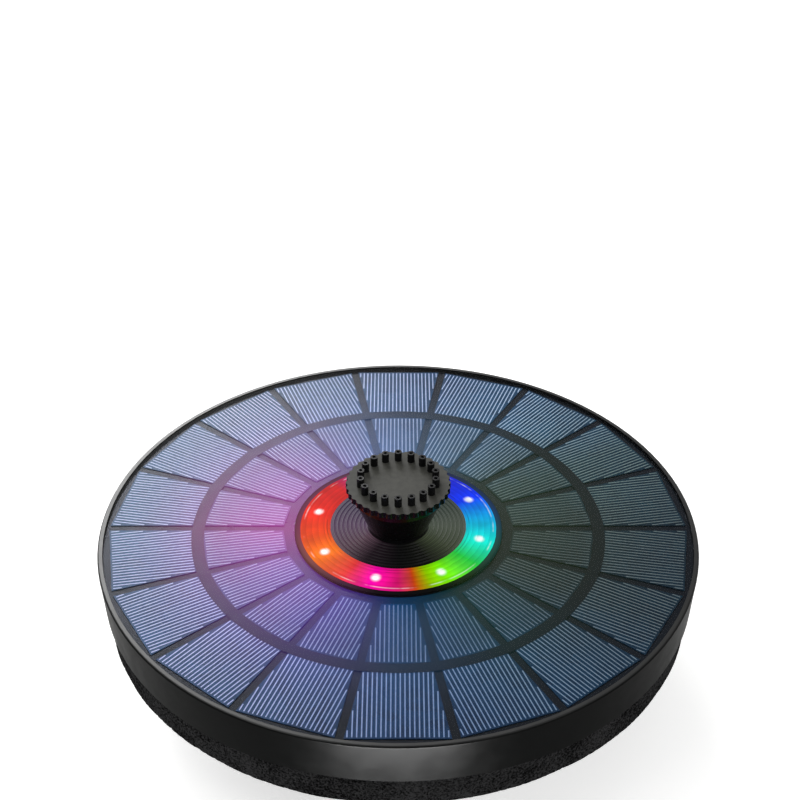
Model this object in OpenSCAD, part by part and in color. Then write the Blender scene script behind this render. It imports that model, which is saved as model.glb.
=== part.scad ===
/* [Float] */
// Outer diameter of the float, across the rim of the top shell
float_d = 180; // [174:1:200]
// Height of the side wall, from the rim down to its lower edge
skirt_h = 13.5; // [12.5:0.5:16]
// How far the side wall draws in towards its lower edge
skirt_draft = 0.8; // [0.4:0.1:1.2]
// Wall thickness of the top shell and the base shell
shell_wall = 2; // [1.8:0.1:2.4]
// Width of the flat lip around the panel
lip_w = 1.5; // [1.2:0.1:2]
// How far the lip stands above the panel
lip_proud = 0.2; // [0.1:0.05:0.4]
// Rounding of the rim's outer edge
rim_round = 0.6; // [0.4:0.1:1]
// Height of the foam ring under the shell
foam_h = 10.5; // [8:0.5:12]
// How far the foam ring stands in from the side wall's lower edge
foam_inset = 1; // [0.6:0.1:2]
// Outer diameter of the tub in the middle of the base
tub_d = 124; // [120:1:130]
// Diameter of the case screws' bosses
boss_d = 7.2; // [6.8:0.1:8]
// Thread diameter of the case screws
case_screw_d = 3; // [2.6:0.1:3.4]

/* [Solar panel] */
// Number of cells in each ring
cell_count = 18; // [16:1:20]
// Gap between neighbouring cells of one ring
cell_gap = 2.4; // [1.8:0.1:3]
// Share of the cells' radial length that the inner ring takes
inner_cell_share = 0.494; // [0.46:0.002:0.52]
// Gap between the inner ring of cells and the outer ring
ring_gap = 3; // [2:0.1:4]
// Black margin between the hub and the inner cells
hub_margin = 3; // [2:0.1:4]
// Black margin outside the outer cells' corners
rim_margin = 0.9; // [0.6:0.1:1.5]
// Thickness of the panel's circuit board
board_t = 1.6; // [1.2:0.1:2]
// Thickness of a solar cell
cell_t = 0.25; // [0.2:0.05:0.4]
// Thickness of the clear resin over the cells
cover_t = 0.65; // [0.5:0.05:1]

/* [Light ring] */
// Inner diameter of the light ring's lens
lens_id = 41.2; // [40.6:0.1:43]
// Outer diameter of the light ring's lens
lens_od = 59.2; // [58:0.1:61]
// Thickness of the lens at its outer edge
lens_t = 1.5; // [1.2:0.1:2]
// Height of each concentric step of the lens
lens_step = 0.14; // [0.08:0.02:0.2]
// Number of concentric steps of the lens
lens_steps = 5; // [3:1:7]
// Number of lights
led_count = 8; // [6:1:8]
// Angle of the first light, from +X
led_first = 165; // [150:1:180]
// Side of one light's square body
led_w = 5; // [4.6:0.1:5.2]
// Height of one light's body
led_h = 1.6; // [1.2:0.1:1.8]
// Depth of the light ring's pocket below the rim
pocket_depth = 6; // [5.6:0.1:6.6]

/* [Hub disc] */
// Height of the hub disc above the rim
hub_rise = 0.5; // [0.3:0.1:0.8]
// Thickness of the hub disc
hub_t = 2; // [1.8:0.1:2.4]
// Spacing of the hub disc's ring grooves
groove_pitch = 1.3; // [1.2:0.05:1.6]
// Depth of the ring grooves
groove_depth = 0.35; // [0.2:0.05:0.5]

/* [Nozzle] */
// Diameter of the nozzle cap over its scalloped edge
cap_d = 31.2; // [30:0.2:34]
// Thickness of the nozzle cap
cap_t = 1.9; // [1.6:0.1:2.4]
// Height of the cap's top above the rim
cap_rise = 16.5; // [15:0.5:20]
// Number of scallops around the cap
scallops = 36; // [30:1:40]
// Number of water spouts
spout_count = 18; // [12:1:20]
// Diameter of the circle of spouts
spout_circle_d = 22.6; // [22:0.2:22.8]
// Outer diameter of one spout
spout_d = 2.2; // [1.9:0.1:2.4]
// Bore of one spout
spout_bore = 1.1; // [0.9:0.1:1.2]
// Height of one spout above the cap
spout_h = 3; // [2:0.1:4]
// Diameter of the cone's straight lip just under the cap
cone_d = 26.4; // [26.4:0.2:28]
// Diameter of the neck where the cone enters the hub
neck_d = 18.4; // [17.6:0.1:18.8]
// Diameter of the stem that plugs into the riser tube
stem_d = 11.8; // [11.2:0.1:12.2]
// Length of the stem below the neck
stem_l = 10.5; // [9:0.5:12]
// Wall of the nozzle's cone and stem
nozzle_wall = 1.4; // [1.2:0.1:1.6]

/* [Pump] */
// Diameter of the rotor magnet
rotor_d = 9; // [8.6:0.1:9.4]
// Length of the rotor magnet
rotor_l = 10; // [9:0.5:11]
// Diameter of the pump's shaft
shaft_d = 2; // [1.8:0.1:2.2]
// Diameter of the impeller
impeller_d = 14.8; // [14:0.1:15.2]
// Number of impeller vanes
vane_count = 6; // [4:1:8]
// Width of the pump chamber along the shaft
chamber_w = 6.5; // [6:0.1:7]
// Gap between the impeller and the chamber's wall
chamber_gap = 1.2; // [1:0.1:1.6]
// Wall of the thin can around the rotor
can_wall = 0.7; // [0.6:0.05:0.8]
// Radial length of a stator tooth
tooth_l = 2.5; // [2.3:0.1:2.8]
// Radial thickness of the stator's yoke
yoke_t = 1.2; // [1:0.1:1.4]
// Wall of the pump body
pump_wall = 1; // [0.9:0.05:1.2]
// Outer diameter of the pump's outlet spigot
spigot_d = 10; // [9.6:0.1:10.4]
// Bore of the outlet
outlet_d = 6; // [5.6:0.1:6.4]
// Height of the spigot inside the riser tube
spigot_l = 7.5; // [6:0.5:8]
// Thickness of the saddle plate that carries the pump
saddle_t = 1.5; // [1.3:0.1:2]

/* [Strainer basket] */
// Outer diameter of the strainer basket
basket_d = 62; // [61:0.5:66]
// Wall of the strainer basket
basket_wall = 1.8; // [1.6:0.1:2]
// Number of slots around the wall
wall_slots = 40; // [30:1:44]
// Number of slots in the floor
floor_slots = 24; // [16:1:24]
// Width of a slot
slot_w = 1.6; // [1.2:0.1:1.8]
// Angle through which the basket twists to unlock
twist_angle = 30; // [20:1:40]
// Height of the rubber feet
foot_h = 0.8; // [0.6:0.1:1.2]

/* [Battery and controls] */
// Diameter of the battery cell
battery_d = 18.3; // [17.8:0.1:18.6]
// Length of the battery cell
battery_l = 65; // [60:0.5:66]
// Length of the control board
control_l = 46; // [44:1:48]
// Width of the control board
control_w = 26; // [25:0.5:27]
// Height of the control board above the tub's floor
standoff_h = 5.5; // [5.4:0.1:6.5]
// Diameter of the power button
button_d = 10; // [9:0.2:11]
// Travel of the power button
button_travel = 1.2; // [0.8:0.1:1.3]
// Diameter of the insulated leads
lead_d = 1.8; // [1.6:0.1:2]

/* [Hidden] */
$fn = 96;

// How far a cut runs past the face that it opens
cut = 0.5;
// Radial clearance of a piece that turns or slides
run_fit = 0.1;
// Radial clearance of the rotor on its shaft
shaft_fit = 0.05;
// Radial clearance of a piece that is only assembled
seat_fit = 0.1;
// How far a seal stays from the bore that it wipes
seal_fit = 0.02;
// Clearance around the soft foam ring and sponge
soft_fit = 0.3;

// Pump
rotor_r = rotor_d / 2;
// Water gap around the rotor
water_gap = 0.4;
can_ir = rotor_r + water_gap;
can_or = can_ir + can_wall;
core_ir = can_or + seat_fit;
yoke_ir = core_ir + tooth_l;
core_or = yoke_ir + yoke_t;
motor_ir = core_or + seat_fit;
motor_r = motor_ir + pump_wall;
// Corner radius of the pump body's section
pump_corner = 5;
chamber_r = impeller_d / 2 + chamber_gap;
pump_x = -(chamber_r - outlet_d / 2);
chamber_front = -chamber_w / 2;
chamber_back = chamber_w / 2;
magnet_y = chamber_back + pump_wall;
// End play of the rotor
end_play = 0.4;
// Length and wall of the shaft's bushes
bush_l = 1.4;
bush_wall = 1.1;
can_end = magnet_y + rotor_l + end_play;
can_back = can_end + bush_l + pump_wall;
// Thickness of the driver board and of the resin plug behind it
driver_t = 1;
potting_t = 2;
driver_y = can_back + seat_fit;
potting_y = driver_y + driver_t + seat_fit;
pump_back = potting_y + potting_t;
// Stator teeth, and the thickness of a coil's winding
teeth = 6;
tooth_w = 1.8;
coil_t = 0.8;
core_y1 = magnet_y + coil_t + seat_fit;
core_y2 = magnet_y + rotor_l - coil_t;
// Thickness of the volute cover
volute_t = 2;
volute_front = chamber_front - volute_t;

// Heights, from the feet up
// Thickness of the basket's floor and its gap to the pump
basket_floor_t = 1.6;
pump_gap = 1.2;
basket_floor_z = foot_h + basket_floor_t;
pump_z = basket_floor_z + pump_gap + motor_r;
tub_z = pump_z + motor_r + saddle_t;
tub_floor_z = tub_z + shell_wall;
// Thickness of the cradle under the battery, and the free space above it
cradle_t = 0.6;
battery_space = 0.4;
battery_z = tub_floor_z + cradle_t + battery_d / 2;
// The battery lies against the tub's wall, this far from it
battery_clear = 1;
battery_r = battery_d / 2;
battery_y = sqrt(pow(tub_d / 2 - shell_wall - battery_clear, 2) - pow(battery_l / 2, 2)) - battery_r;
// Wall between the light ring and the panel
pocket_wall = 1.6;
pocket_ir = lens_od / 2 + seat_fit;
pocket_or = pocket_ir + pocket_wall;
// How far the light ring's pocket hangs below the deck, and the height at which it clears the battery
pocket_drop = pocket_depth - board_t - cell_t - cover_t - lip_proud;
pocket_past = max(0, battery_y - pocket_or);
pocket_over = sqrt(max(0, pow(battery_r + battery_space, 2) - pow(pocket_past, 2)));
deck_under_z = battery_z + max(battery_r + battery_space, pocket_over + pocket_drop);
deck_z = deck_under_z + shell_wall;
panel_z = deck_z + board_t + cell_t + cover_t;
rim_z = panel_z + lip_proud;
skirt_z = rim_z - skirt_h;
foam_z = skirt_z - foam_h;
flange_z = skirt_z + shell_wall;
pocket_z = rim_z - pocket_depth;
pocket_under_z = pocket_z - shell_wall;
lens_under_z = rim_z - lens_t;
hub_under_z = rim_z + hub_rise - hub_t;

// Float radii
float_r = float_d / 2;
skirt_r = float_r - skirt_draft;
wall_ir = skirt_r - shell_wall;
lip_ir = float_r - lip_w;
foam_or = skirt_r - foam_inset;
// Rounding of the foam ring's edges
foam_round = 0.8;
tub_r = tub_d / 2;
tub_ir = tub_r - shell_wall;
// Chamfer of the tub's lower edge
tub_chamfer = 1.2;
foam_ir = tub_r + soft_fit;
flange_r = wall_ir - seat_fit;
// Width and thickness of the case gasket
gasket_w = 2.4;
gasket_t = 1.2;
boss_r = boss_d / 2;
// Space between a boss and the tub's wall
boss_space = 1.4;
boss_circle_r = tub_ir - boss_space - boss_r;
boss_angles = [20, 90, 160, 200, 270, 340];
screw_r = case_screw_d / 2;
// Length of a case screw in its boss, and the size of its head
case_screw_l = 10;
screw_head_r = case_screw_d;
screw_head_h = 1.6;

// Panel radii
lens_ir = lens_id / 2;
lens_or = lens_od / 2;
panel_ir = pocket_or + seat_fit;
panel_or = lip_ir - seat_fit;
cell_half = 180 / cell_count;
cell_r1 = panel_ir + hub_margin;
cell_r4 = (panel_or - rim_margin) * cos(cell_half);
cell_r2 = cell_r1 + inner_cell_share * (cell_r4 - cell_r1 - ring_gap);
cell_r3 = cell_r2 + ring_gap;
// Turns the rings so that a cell lies at the front
cell_first = -90;

// Hub
neck_r = neck_d / 2;
hub_ir = neck_r + run_fit;
hub_or = lens_ir - seat_fit;
// Width of a ledge that carries the lens or the hub disc
ledge_w = 1.2;
rib_ir = hub_or - ledge_w;
rib_or = lens_ir + ledge_w;
seat_r = lens_or - ledge_w;
led_r = (rib_or + seat_r) / 2;
// Thickness of the light ring's board
led_board_t = 1;
// Clearance of the light board beside its ribs
led_board_fit = 0.3;
// Height of a light's round window above its body
led_window = 0.1;
led_window_r = led_w / 2 - 0.2 * led_w;
lens_run = (lens_or - lens_ir) / lens_steps;

// Riser and well
stem_r = stem_d / 2;
riser_bore_r = stem_r + run_fit;
// Wall of the riser tube and of the well around it
riser_wall = 2.2;
well_wall = 1.6;
riser_r = riser_bore_r + riser_wall;
well_ir = riser_r + seat_fit;
well_or = well_ir + well_wall;
sleeve_ir = well_or + seat_fit;
// Wall of the hub sleeve, and the size of the seal inside it
sleeve_wall = 3;
hub_seal_d = 1.8;
sleeve_or = sleeve_ir + sleeve_wall;
// How deep the neck reaches below the rim, and the gaps under it
neck_depth = 2;
neck_gap = 0.4;
neck_under_z = rim_z - neck_depth;
riser_top_z = neck_under_z - neck_gap;
stem_z = neck_under_z - stem_l;
spigot_r = spigot_d / 2;
spigot_z = tub_floor_z + spigot_l;
// Sections of the small seals
groove_deep = 0.9;
groove_wide = 1.4;

// Nozzle
cone_r = cone_d / 2;
cap_r = cap_d / 2;
cap_z = rim_z + cap_rise;
cap_under_z = cap_z - cap_t;
// Radius of one scallop, and how far it stands out of the edge
scallop_r = 1;
scallop_rise = 0.5;
// Depth and wall of the cap's skirt in the cone, and the section of its seal
cap_skirt = 2;
cap_skirt_wall = 1.1;
cap_seal_d = 0.9;
// Wall of the lip around the skirt
lip_wall = 0.8;
// Straight height of the neck above the rim
neck_rise = 1.4;
cap_socket_r = cone_r - lip_wall;
cap_skirt_r = cap_socket_r - run_fit;
skirt_foot_z = cap_under_z - cap_skirt;
cap_socket_z = skirt_foot_z - cap_seal_d - 2 * seal_fit;
spout_circle_r = spout_circle_d / 2;
stem_bore_r = stem_r - groove_deep - nozzle_wall / 2;

// Strainer basket
basket_r = basket_d / 2;
basket_ir = basket_r - basket_wall;
// Rounding of the basket's lower edge
basket_round = 2;
// Gap between the basket and the tub, and the collar that guides it
basket_gap = 0.3;
basket_top_z = tub_z - basket_gap;
collar_r = basket_ir - run_fit;
collar_wall = 1.8;
collar_h = 4;
// Radius of a bayonet pin, its clearance, and how deep it lies
pin_r = 1.1;
pin_fit = 0.15;
pin_count = 3;
pin_depth = 2.2;
pin_reach = 1.3;
pin_half_angle = asin((pin_r + pin_fit) / basket_ir);
// Ends of the slots
slot_low = 2.2;
slot_high = 3;
floor_slot_in = 9;
floor_slot_out = 24;
foot_r = 2;
foot_count = 4;
foot_circle_r = basket_r - basket_round - foot_r - foot_r / 8;

// Pump fasteners
// Reach of the saddle's ears past the pump body, and their size
ear_reach = 3.2;
ear_r = 2.8;
ear_left_x = pump_x - motor_r - ear_reach;
ear_right_x = pump_x + motor_r + ear_reach;
ears = [[ear_left_x, chamber_back - pump_wall - pump_wall],
        [ear_left_x, can_back - bush_l - pump_wall],
        [ear_right_x, can_back - bush_l - pump_wall]];
pump_screw_r = 1;
pump_screw_head = 2;
pump_head_h = 1.2;
pump_boss_r = 2.4;
pump_boss_h = 4;
cover_screw_r = 0.8;
cover_screw_l = 4.5;
cover_head_r = 1.4;
cover_head_h = 0.8;
cover_screw_off = motor_r - pump_corner / 2;
cover_screw_angles = [[-1, 1], [-1, -1], [1, -1]];
pump_lead_y = driver_y + driver_t / 2;
grommet_r = 2.6;

// Battery
tab_t = 0.3;
tab_w = 8;
cradle_l = 6;
cradle_off = battery_l / 2 - 2 * cradle_l;
cradle_wall = 1.6;

// Control board
control_t = 1.6;
// Space between the hub sleeve and the board, where the leads plug in
plug_space = 7;
// Furthest that the board reaches before it meets a case boss or the tub's wall
board_wall_y = sqrt(pow(tub_ir - battery_clear, 2) - pow(control_l / 2, 2));
board_far = min(boss_circle_r - boss_r - soft_fit, board_wall_y);
control_y = -min(sleeve_or + control_w / 2 + plug_space, board_far - control_w / 2);
control_z = tub_floor_z + standoff_h;
control_top = control_z + control_t;
post_r = 2.2;
post_in = 3;
board_screw_r = 0.9;
board_screw_head = 1.7;
board_head_h = 1;
board_screw_l = 4;
plug_l = 5;
plug_h = 5.5;
plug_gap = 2;
// Space between the last plug and the head of a board screw
plug_side = 1.3;
capacitor_r = 2.5;
capacitor_h = 8;
inductor_r = 3.6;
inductor_h = 5;
chip_w = 6;
chip_h = 1.4;
plug_y = control_y + control_w / 2 - plug_l;
plug_lead_z = control_top + plug_h / 2;
plug_face = plug_y + plug_l;
plug_count = 4;
plug_row = control_l - 2 * (post_in + board_screw_head + plug_side);
plug_w = (plug_row + plug_gap) / plug_count - plug_gap;
function plug_x(k) = (k - (plug_count - 1) / 2) * (plug_w + plug_gap);

// Power button
button_r = button_d / 2;
button_collar_h = 1.6;
button_collar_wall = 2;
button_proud = 1;
button_flange = 1.2;
button_flange_t = 1;
button_stem_r = 1.5;
button_free = 0.1;
switch_w = 6;
switch_h = 2.2;
plunger_r = 1.7;
plunger_h = 0.8;
button_x = control_l / 2 - post_in - post_r - button_r - button_flange - soft_fit;
button_out = basket_r + button_r + button_collar_wall + soft_fit;
button_y = -max(control_w / 2 - switch_w - control_y, sqrt(pow(button_out, 2) - pow(button_x, 2)));
plunger_z = control_z - switch_h - plunger_h;
button_top_z = plunger_z - button_travel - button_free;
button_low_z = tub_z - button_collar_h - button_proud;

// Where the leads leave the panel and the light ring
panel_hole = [-(panel_ir + lead_d * 1.2) * cos(28), -(panel_ir + lead_d * 1.2) * sin(28)];
led_hole = [led_r * cos(20), -led_r * sin(20)];
plug_end = [for (k = [0:plug_count - 1]) [plug_x(k), plug_face, plug_lead_z]];
// Unit step of the leads' routes, and the height of a lead above the tub's floor
step = lead_d;
low_z = tub_floor_z + 1.5 * step;

// A flat ring from z1 up to z2
module ring(r_in, r_out, z1, z2) {
    translate([0, 0, z1])
        difference() {
            cylinder(r = r_out, h = z2 - z1);
            translate([0, 0, -cut]) cylinder(r = r_in, h = z2 - z1 + 2 * cut);
        }
}

// A box in a turned section, from its lowest to its highest corner
module span(r1, r2, z1, z2) {
    translate([r1, z1]) square([r2 - r1, z2 - z1]);
}

// A seal of round section around the Z axis
module seal(r_mid, r_sec, z) {
    translate([0, 0, z]) rotate_extrude() translate([r_mid, 0]) circle(r = r_sec, $fn = 32);
}

// Points of an arc in a turned section
function arc(cx, cy, r, from, to, steps = 6) =
    [for (k = [0:steps]) let (a = from + (to - from) * k / steps) [cx + r * cos(a), cy + r * sin(a)]];

// Copies the children to a list of angles on a circle
module around(angles, r) {
    for (a = angles) rotate([0, 0, a]) translate([r, 0, 0]) children();
}

// Angles of n places spread evenly
function spread(n, first = 0) = [for (k = [0:n - 1]) first + 360 * k / n];

// Lays a shape drawn on +Z along the pump's shaft, starting at y
module on_shaft(y) {
    translate([pump_x, y, pump_z]) rotate([-90, 0, 0]) children();
}

// A cylinder on the shaft's axis, from y1 to y2
module shaft_cyl(r, y1, y2) {
    on_shaft(y1) cylinder(r = r, h = y2 - y1);
}

module shaft_ring(r_in, r_out, y1, y2) {
    difference() {
        shaft_cyl(r_out, y1, y2);
        shaft_cyl(r_in, y1 - cut, y2 + cut);
    }
}

// The pump's section: a square with round corners
module pump_section() {
    inner = motor_r - pump_corner;
    square([2 * inner, 2 * motor_r], center = true);
    square([2 * motor_r, 2 * inner], center = true);
    for (x = [-inner, inner], y = [-inner, inner]) translate([x, y]) circle(r = pump_corner);
}

// Side wall, deck, light pocket and hub sleeve, all turned in one piece
module housing_shell() {
    color("#232424") difference() {
        union() {
            rotate_extrude($fn = 180) {
                polygon(concat(
                    [[wall_ir, skirt_z], [skirt_r, skirt_z]],
                    arc(float_r - rim_round, rim_z - rim_round, rim_round, 0, 90),
                    [[lip_ir, rim_z], [lip_ir, deck_under_z], [wall_ir, deck_under_z]]));
                span(pocket_ir, lip_ir + cut, deck_under_z, deck_z);
                span(wall_ir - gasket_w, wall_ir + cut, flange_z + gasket_t, deck_under_z + cut);
                span(pocket_ir, pocket_or, pocket_under_z, panel_z);
                span(seat_r, pocket_ir + cut, pocket_under_z, lens_under_z);
                span(sleeve_ir, pocket_ir + cut, pocket_under_z, pocket_z);
                span(rib_ir, rib_or, pocket_under_z, min(hub_under_z, lens_under_z));
                span(sleeve_ir, sleeve_or, pocket_under_z, hub_under_z);
            }
            around(boss_angles, boss_circle_r)
                translate([0, 0, tub_floor_z]) cylinder(r = boss_r, h = deck_under_z + cut - tub_floor_z);
        }
        seal_groove(sleeve_ir, hub_seal_z());
        around(boss_angles, boss_circle_r)
            translate([0, 0, tub_floor_z - cut]) cylinder(r = screw_r, h = case_screw_l + 2 * cut);
        translate([panel_hole[0], panel_hole[1], deck_under_z - cut])
            cylinder(r = lead_d, h = shell_wall + 2 * cut);
        translate([led_hole[0], led_hole[1], pocket_under_z - cut])
            cylinder(r = lead_d, h = shell_wall + 2 * cut);
    }
}

function hub_seal_z() = (pocket_under_z + hub_under_z) / 2;

// Groove for the seal between the sleeve and the well
module seal_groove(r, z) {
    translate([0, 0, z - hub_seal_d / 2])
        cylinder(r = r + hub_seal_d - seat_fit, h = hub_seal_d);
}

// Tub, flange, well, bayonet collar, bosses and posts
module base_shell() {
    color("#202121") difference() {
        union() {
            rotate_extrude($fn = 180) {
                polygon([
                    [spigot_r + seat_fit, tub_z], [tub_r - tub_chamfer, tub_z],
                    [tub_r, tub_z + tub_chamfer], [tub_r, skirt_z], [flange_r, skirt_z],
                    [flange_r, flange_z], [tub_ir, flange_z], [tub_ir, tub_floor_z],
                    [spigot_r + seat_fit, tub_floor_z]]);
                span(well_ir, well_or, tub_floor_z - cut, riser_top_z);
                span(collar_r - collar_wall, collar_r, tub_z - collar_h, tub_z + cut);
            }
            around(spread(pin_count), 0) bayonet_pin();
            translate([button_x, button_y, tub_z - button_collar_h])
                cylinder(r = button_r + button_collar_wall, h = button_collar_h + cut);
            for (p = ears) translate([p[0], p[1], tub_floor_z - cut])
                cylinder(r = pump_boss_r, h = pump_boss_h + cut);
            at_posts() translate([0, 0, tub_floor_z - cut])
                cylinder(r = post_r, h = standoff_h + cut);
        }
        around(boss_angles, boss_circle_r)
            translate([0, 0, tub_z - cut]) cylinder(r = screw_r + seat_fit, h = shell_wall + 2 * cut);
        translate([button_x, button_y, tub_z - button_collar_h - cut])
            cylinder(r = button_r + run_fit, h = button_collar_h + shell_wall + 2 * cut);
        for (p = ears) translate([p[0], p[1], tub_z - cut])
            cylinder(r = pump_screw_r, h = shell_wall + pump_boss_h);
        at_posts() translate([0, 0, control_z - board_screw_l])
            cylinder(r = board_screw_r, h = board_screw_l + cut);
        translate([pump_x, pump_lead_y, tub_z - cut]) cylinder(r = grommet_r, h = shell_wall + 2 * cut);
    }
}

module bayonet_pin() {
    translate([collar_r - collar_wall / 2, 0, tub_z - pin_depth])
        rotate([0, 90, 0]) cylinder(r = pin_r, h = collar_wall / 2 + pin_reach);
}

module at_posts() {
    for (x = [-1, 1], y = [-1, 1])
        translate([x * (control_l / 2 - post_in), control_y + y * (control_w / 2 - post_in), 0])
            children();
}

module case_gasket() {
    color("#7a2f22") ring(flange_r - gasket_w, flange_r, flange_z, flange_z + gasket_t);
}

// Pan-head screws that hold the two shells together
module case_screws() {
    color("#b9bbb8") around(boss_angles, boss_circle_r)
        pan_screw(screw_r - seat_fit, shell_wall + case_screw_l, screw_head_r, screw_head_h, tub_z);
}

// A screw that points up, with its head under z and a cross recess
module pan_screw(r, l, head_r, head_h, z) {
    translate([0, 0, z - head_h]) difference() {
        union() {
            cylinder(r1 = head_r - head_h / 3, r2 = head_r, h = head_h / 3);
            translate([0, 0, head_h / 3]) cylinder(r = head_r, h = head_h - head_h / 3);
            cylinder(r = r, h = l + head_h);
        }
        for (a = [0, 90]) rotate([0, 0, a])
            translate([-head_r / 2, -head_r / 8, -head_h]) cube([head_r, head_r / 4, head_h + head_h / 2]);
    }
}

// Closed-cell foam that keeps the fountain afloat
module foam_ring() {
    color("#17181a") rotate_extrude($fn = 180) polygon(concat(
        arc(foam_ir + foam_round, foam_z + foam_round, foam_round, 180, 270, 4),
        arc(foam_or - foam_round, foam_z + foam_round, foam_round, 270, 360, 4),
        [[foam_or, skirt_z], [foam_ir, skirt_z]]));
}

module panel_board() {
    color("#14161a") difference() {
        ring(panel_ir, panel_or, deck_z, deck_z + board_t);
        translate([panel_hole[0], panel_hole[1], deck_z - cut])
            cylinder(r = lead_d / 2, h = board_t / 2 + cut);
    }
}

// One ring of trapezoid cells, with the same gap between every two
module cell_ring(r1, r2) {
    half_gap = cell_gap / 2 / cos(cell_half);
    w1 = r1 * tan(cell_half) - half_gap;
    w2 = r2 * tan(cell_half) - half_gap;
    for (a = spread(cell_count, cell_first)) rotate([0, 0, a])
        translate([0, 0, deck_z + board_t]) linear_extrude(cell_t)
            polygon([[r1, -w1], [r2, -w2], [r2, w2], [r1, w1]]);
}

module cells_inner() {
    color("#1e3357") cell_ring(cell_r1, cell_r2);
}

module cells_outer() {
    color("#1e3357") cell_ring(cell_r3, cell_r4);
}

module panel_cover() {
    color("#8fa0c0", 0.3) ring(panel_ir, panel_or, panel_z - cover_t, panel_z);
}

// Black disc with ring grooves, around the nozzle's neck
module hub_disc() {
    count = floor((hub_or - hub_ir - groove_pitch / 2) / groove_pitch);
    top = rim_z + hub_rise;
    color("#0c0c0d") rotate_extrude($fn = 128) difference() {
        span(hub_ir, hub_or, hub_under_z, top);
        for (k = [0:count - 1]) let (r = hub_or - groove_pitch * (k + 1))
            polygon([[r - groove_pitch * 0.32, top + groove_depth * 0.2], [r, top - groove_depth],
                [r + groove_pitch * 0.32, top + groove_depth * 0.2]]);
    }
}

module hub_seal() {
    color("#2a2a2a") seal(well_or + hub_seal_d / 2 - seat_fit / 2 + seal_fit,
        hub_seal_d / 2 - seat_fit / 2, hub_seal_z());
}

// Clear ring over the lights, stepped like a lens
module led_lens() {
    color("#dfe8f0", 0.5) rotate_extrude($fn = 128) polygon(concat(
        [[lens_ir, lens_under_z], [lens_or, lens_under_z]],
        [for (k = [0:lens_steps - 1]) each [
            [lens_or - k * lens_run, rim_z + k * lens_step],
            [lens_or - (k + 1) * lens_run, rim_z + k * lens_step]]]));
}

module led_board() {
    color("#e8e8e2") difference() {
        ring(rib_or + led_board_fit, seat_r - led_board_fit, pocket_z, pocket_z + led_board_t);
        translate([led_hole[0], led_hole[1], pocket_z - cut])
            cylinder(r = lead_d / 2, h = led_board_t / 2 + cut);
    }
}

module leds() {
    color("#f6f2dc") around(spread(led_count, led_first), led_r)
        translate([0, 0, pocket_z + led_board_t]) {
            translate([-led_w / 2, -led_w / 2, 0]) cube([led_w, led_w, led_h]);
            cylinder(r = led_window_r, h = led_h + led_window);
        }
}

// Hollow cone with the neck and the stem that plugs into the riser
module nozzle_body() {
    shoulder_z = rim_z + neck_rise;
    color("#151515") difference() {
        rotate_extrude() polygon([
            [stem_bore_r, stem_z], [stem_r, stem_z], [stem_r, neck_under_z],
            [neck_r, neck_under_z], [neck_r, shoulder_z], [cone_r, cap_socket_z],
            [cone_r, cap_under_z], [cap_socket_r, cap_under_z],
            [cap_socket_r, cap_socket_z], [cap_socket_r - nozzle_wall, cap_socket_z],
            [stem_bore_r, shoulder_z]]);
        translate([0, 0, stem_seal_z() - groove_wide / 2])
            ring(stem_r - groove_deep, stem_r + cut, 0, groove_wide);
    }
}

function stem_seal_z() = stem_z + stem_l / 3;

// Scalloped disc with its circle of spouts and the skirt that turns in the cone
module nozzle_cap() {
    color("#6a6a62") difference() {
        union() {
            translate([0, 0, cap_under_z]) linear_extrude(cap_t) {
                circle(r = cap_r - scallop_rise);
                for (a = spread(scallops)) rotate(a) translate([cap_r - scallop_r, 0])
                    circle(r = scallop_r, $fn = 24);
            }
            ring(cap_skirt_r - cap_skirt_wall, cap_skirt_r, skirt_foot_z, cap_under_z + cut);
            around(spread(spout_count, cell_first), spout_circle_r)
                translate([0, 0, cap_z - cut]) cylinder(r = spout_d / 2, h = spout_h + cut, $fn = 32);
        }
        translate([0, 0, skirt_foot_z - cut])
            cylinder(r = cap_skirt_r - cap_skirt_wall, h = cap_skirt + cut);
        around(spread(spout_count, cell_first), spout_circle_r)
            translate([0, 0, skirt_foot_z - cut])
                cylinder(r = spout_bore / 2, h = cap_skirt + cap_t + spout_h + 2 * cut, $fn = 24);
    }
}

// Seal that lies in a groove of a turned piece and wipes the bore around it
module groove_seal(r, deep, fit, z) {
    sec = (deep + fit - 2 * seal_fit) / 2;
    seal(r - deep + seal_fit + sec, sec, z);
}

module nozzle_seal() {
    color("#7a2f22") groove_seal(stem_r, groove_deep, run_fit, stem_seal_z());
}

// Seal that lies on the cone's ledge, under the foot of the cap's skirt
module cap_seal() {
    color("#7a2f22") seal(cap_skirt_r - cap_skirt_wall / 2, cap_seal_d / 2,
        skirt_foot_z - seal_fit - cap_seal_d / 2);
}

// Tube in the well that joins the pump's spigot to the nozzle's stem
module riser_tube() {
    color("#2c2d2e") difference() {
        ring(spigot_r + seat_fit, riser_r, tub_floor_z, riser_top_z);
        translate([0, 0, spigot_z + neck_gap])
            cylinder(r = riser_bore_r, h = riser_top_z - spigot_z);
        translate([0, 0, outlet_seal_z() - groove_wide / 2])
            cylinder(r = spigot_r + groove_deep, h = groove_wide);
    }
}

function outlet_seal_z() = tub_floor_z + spigot_l / 2;

module outlet_seal() {
    sec = (groove_deep - 2 * seal_fit) / 2;
    color("#7a2f22") seal(spigot_r + seal_fit + sec, sec, outlet_seal_z());
}

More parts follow.
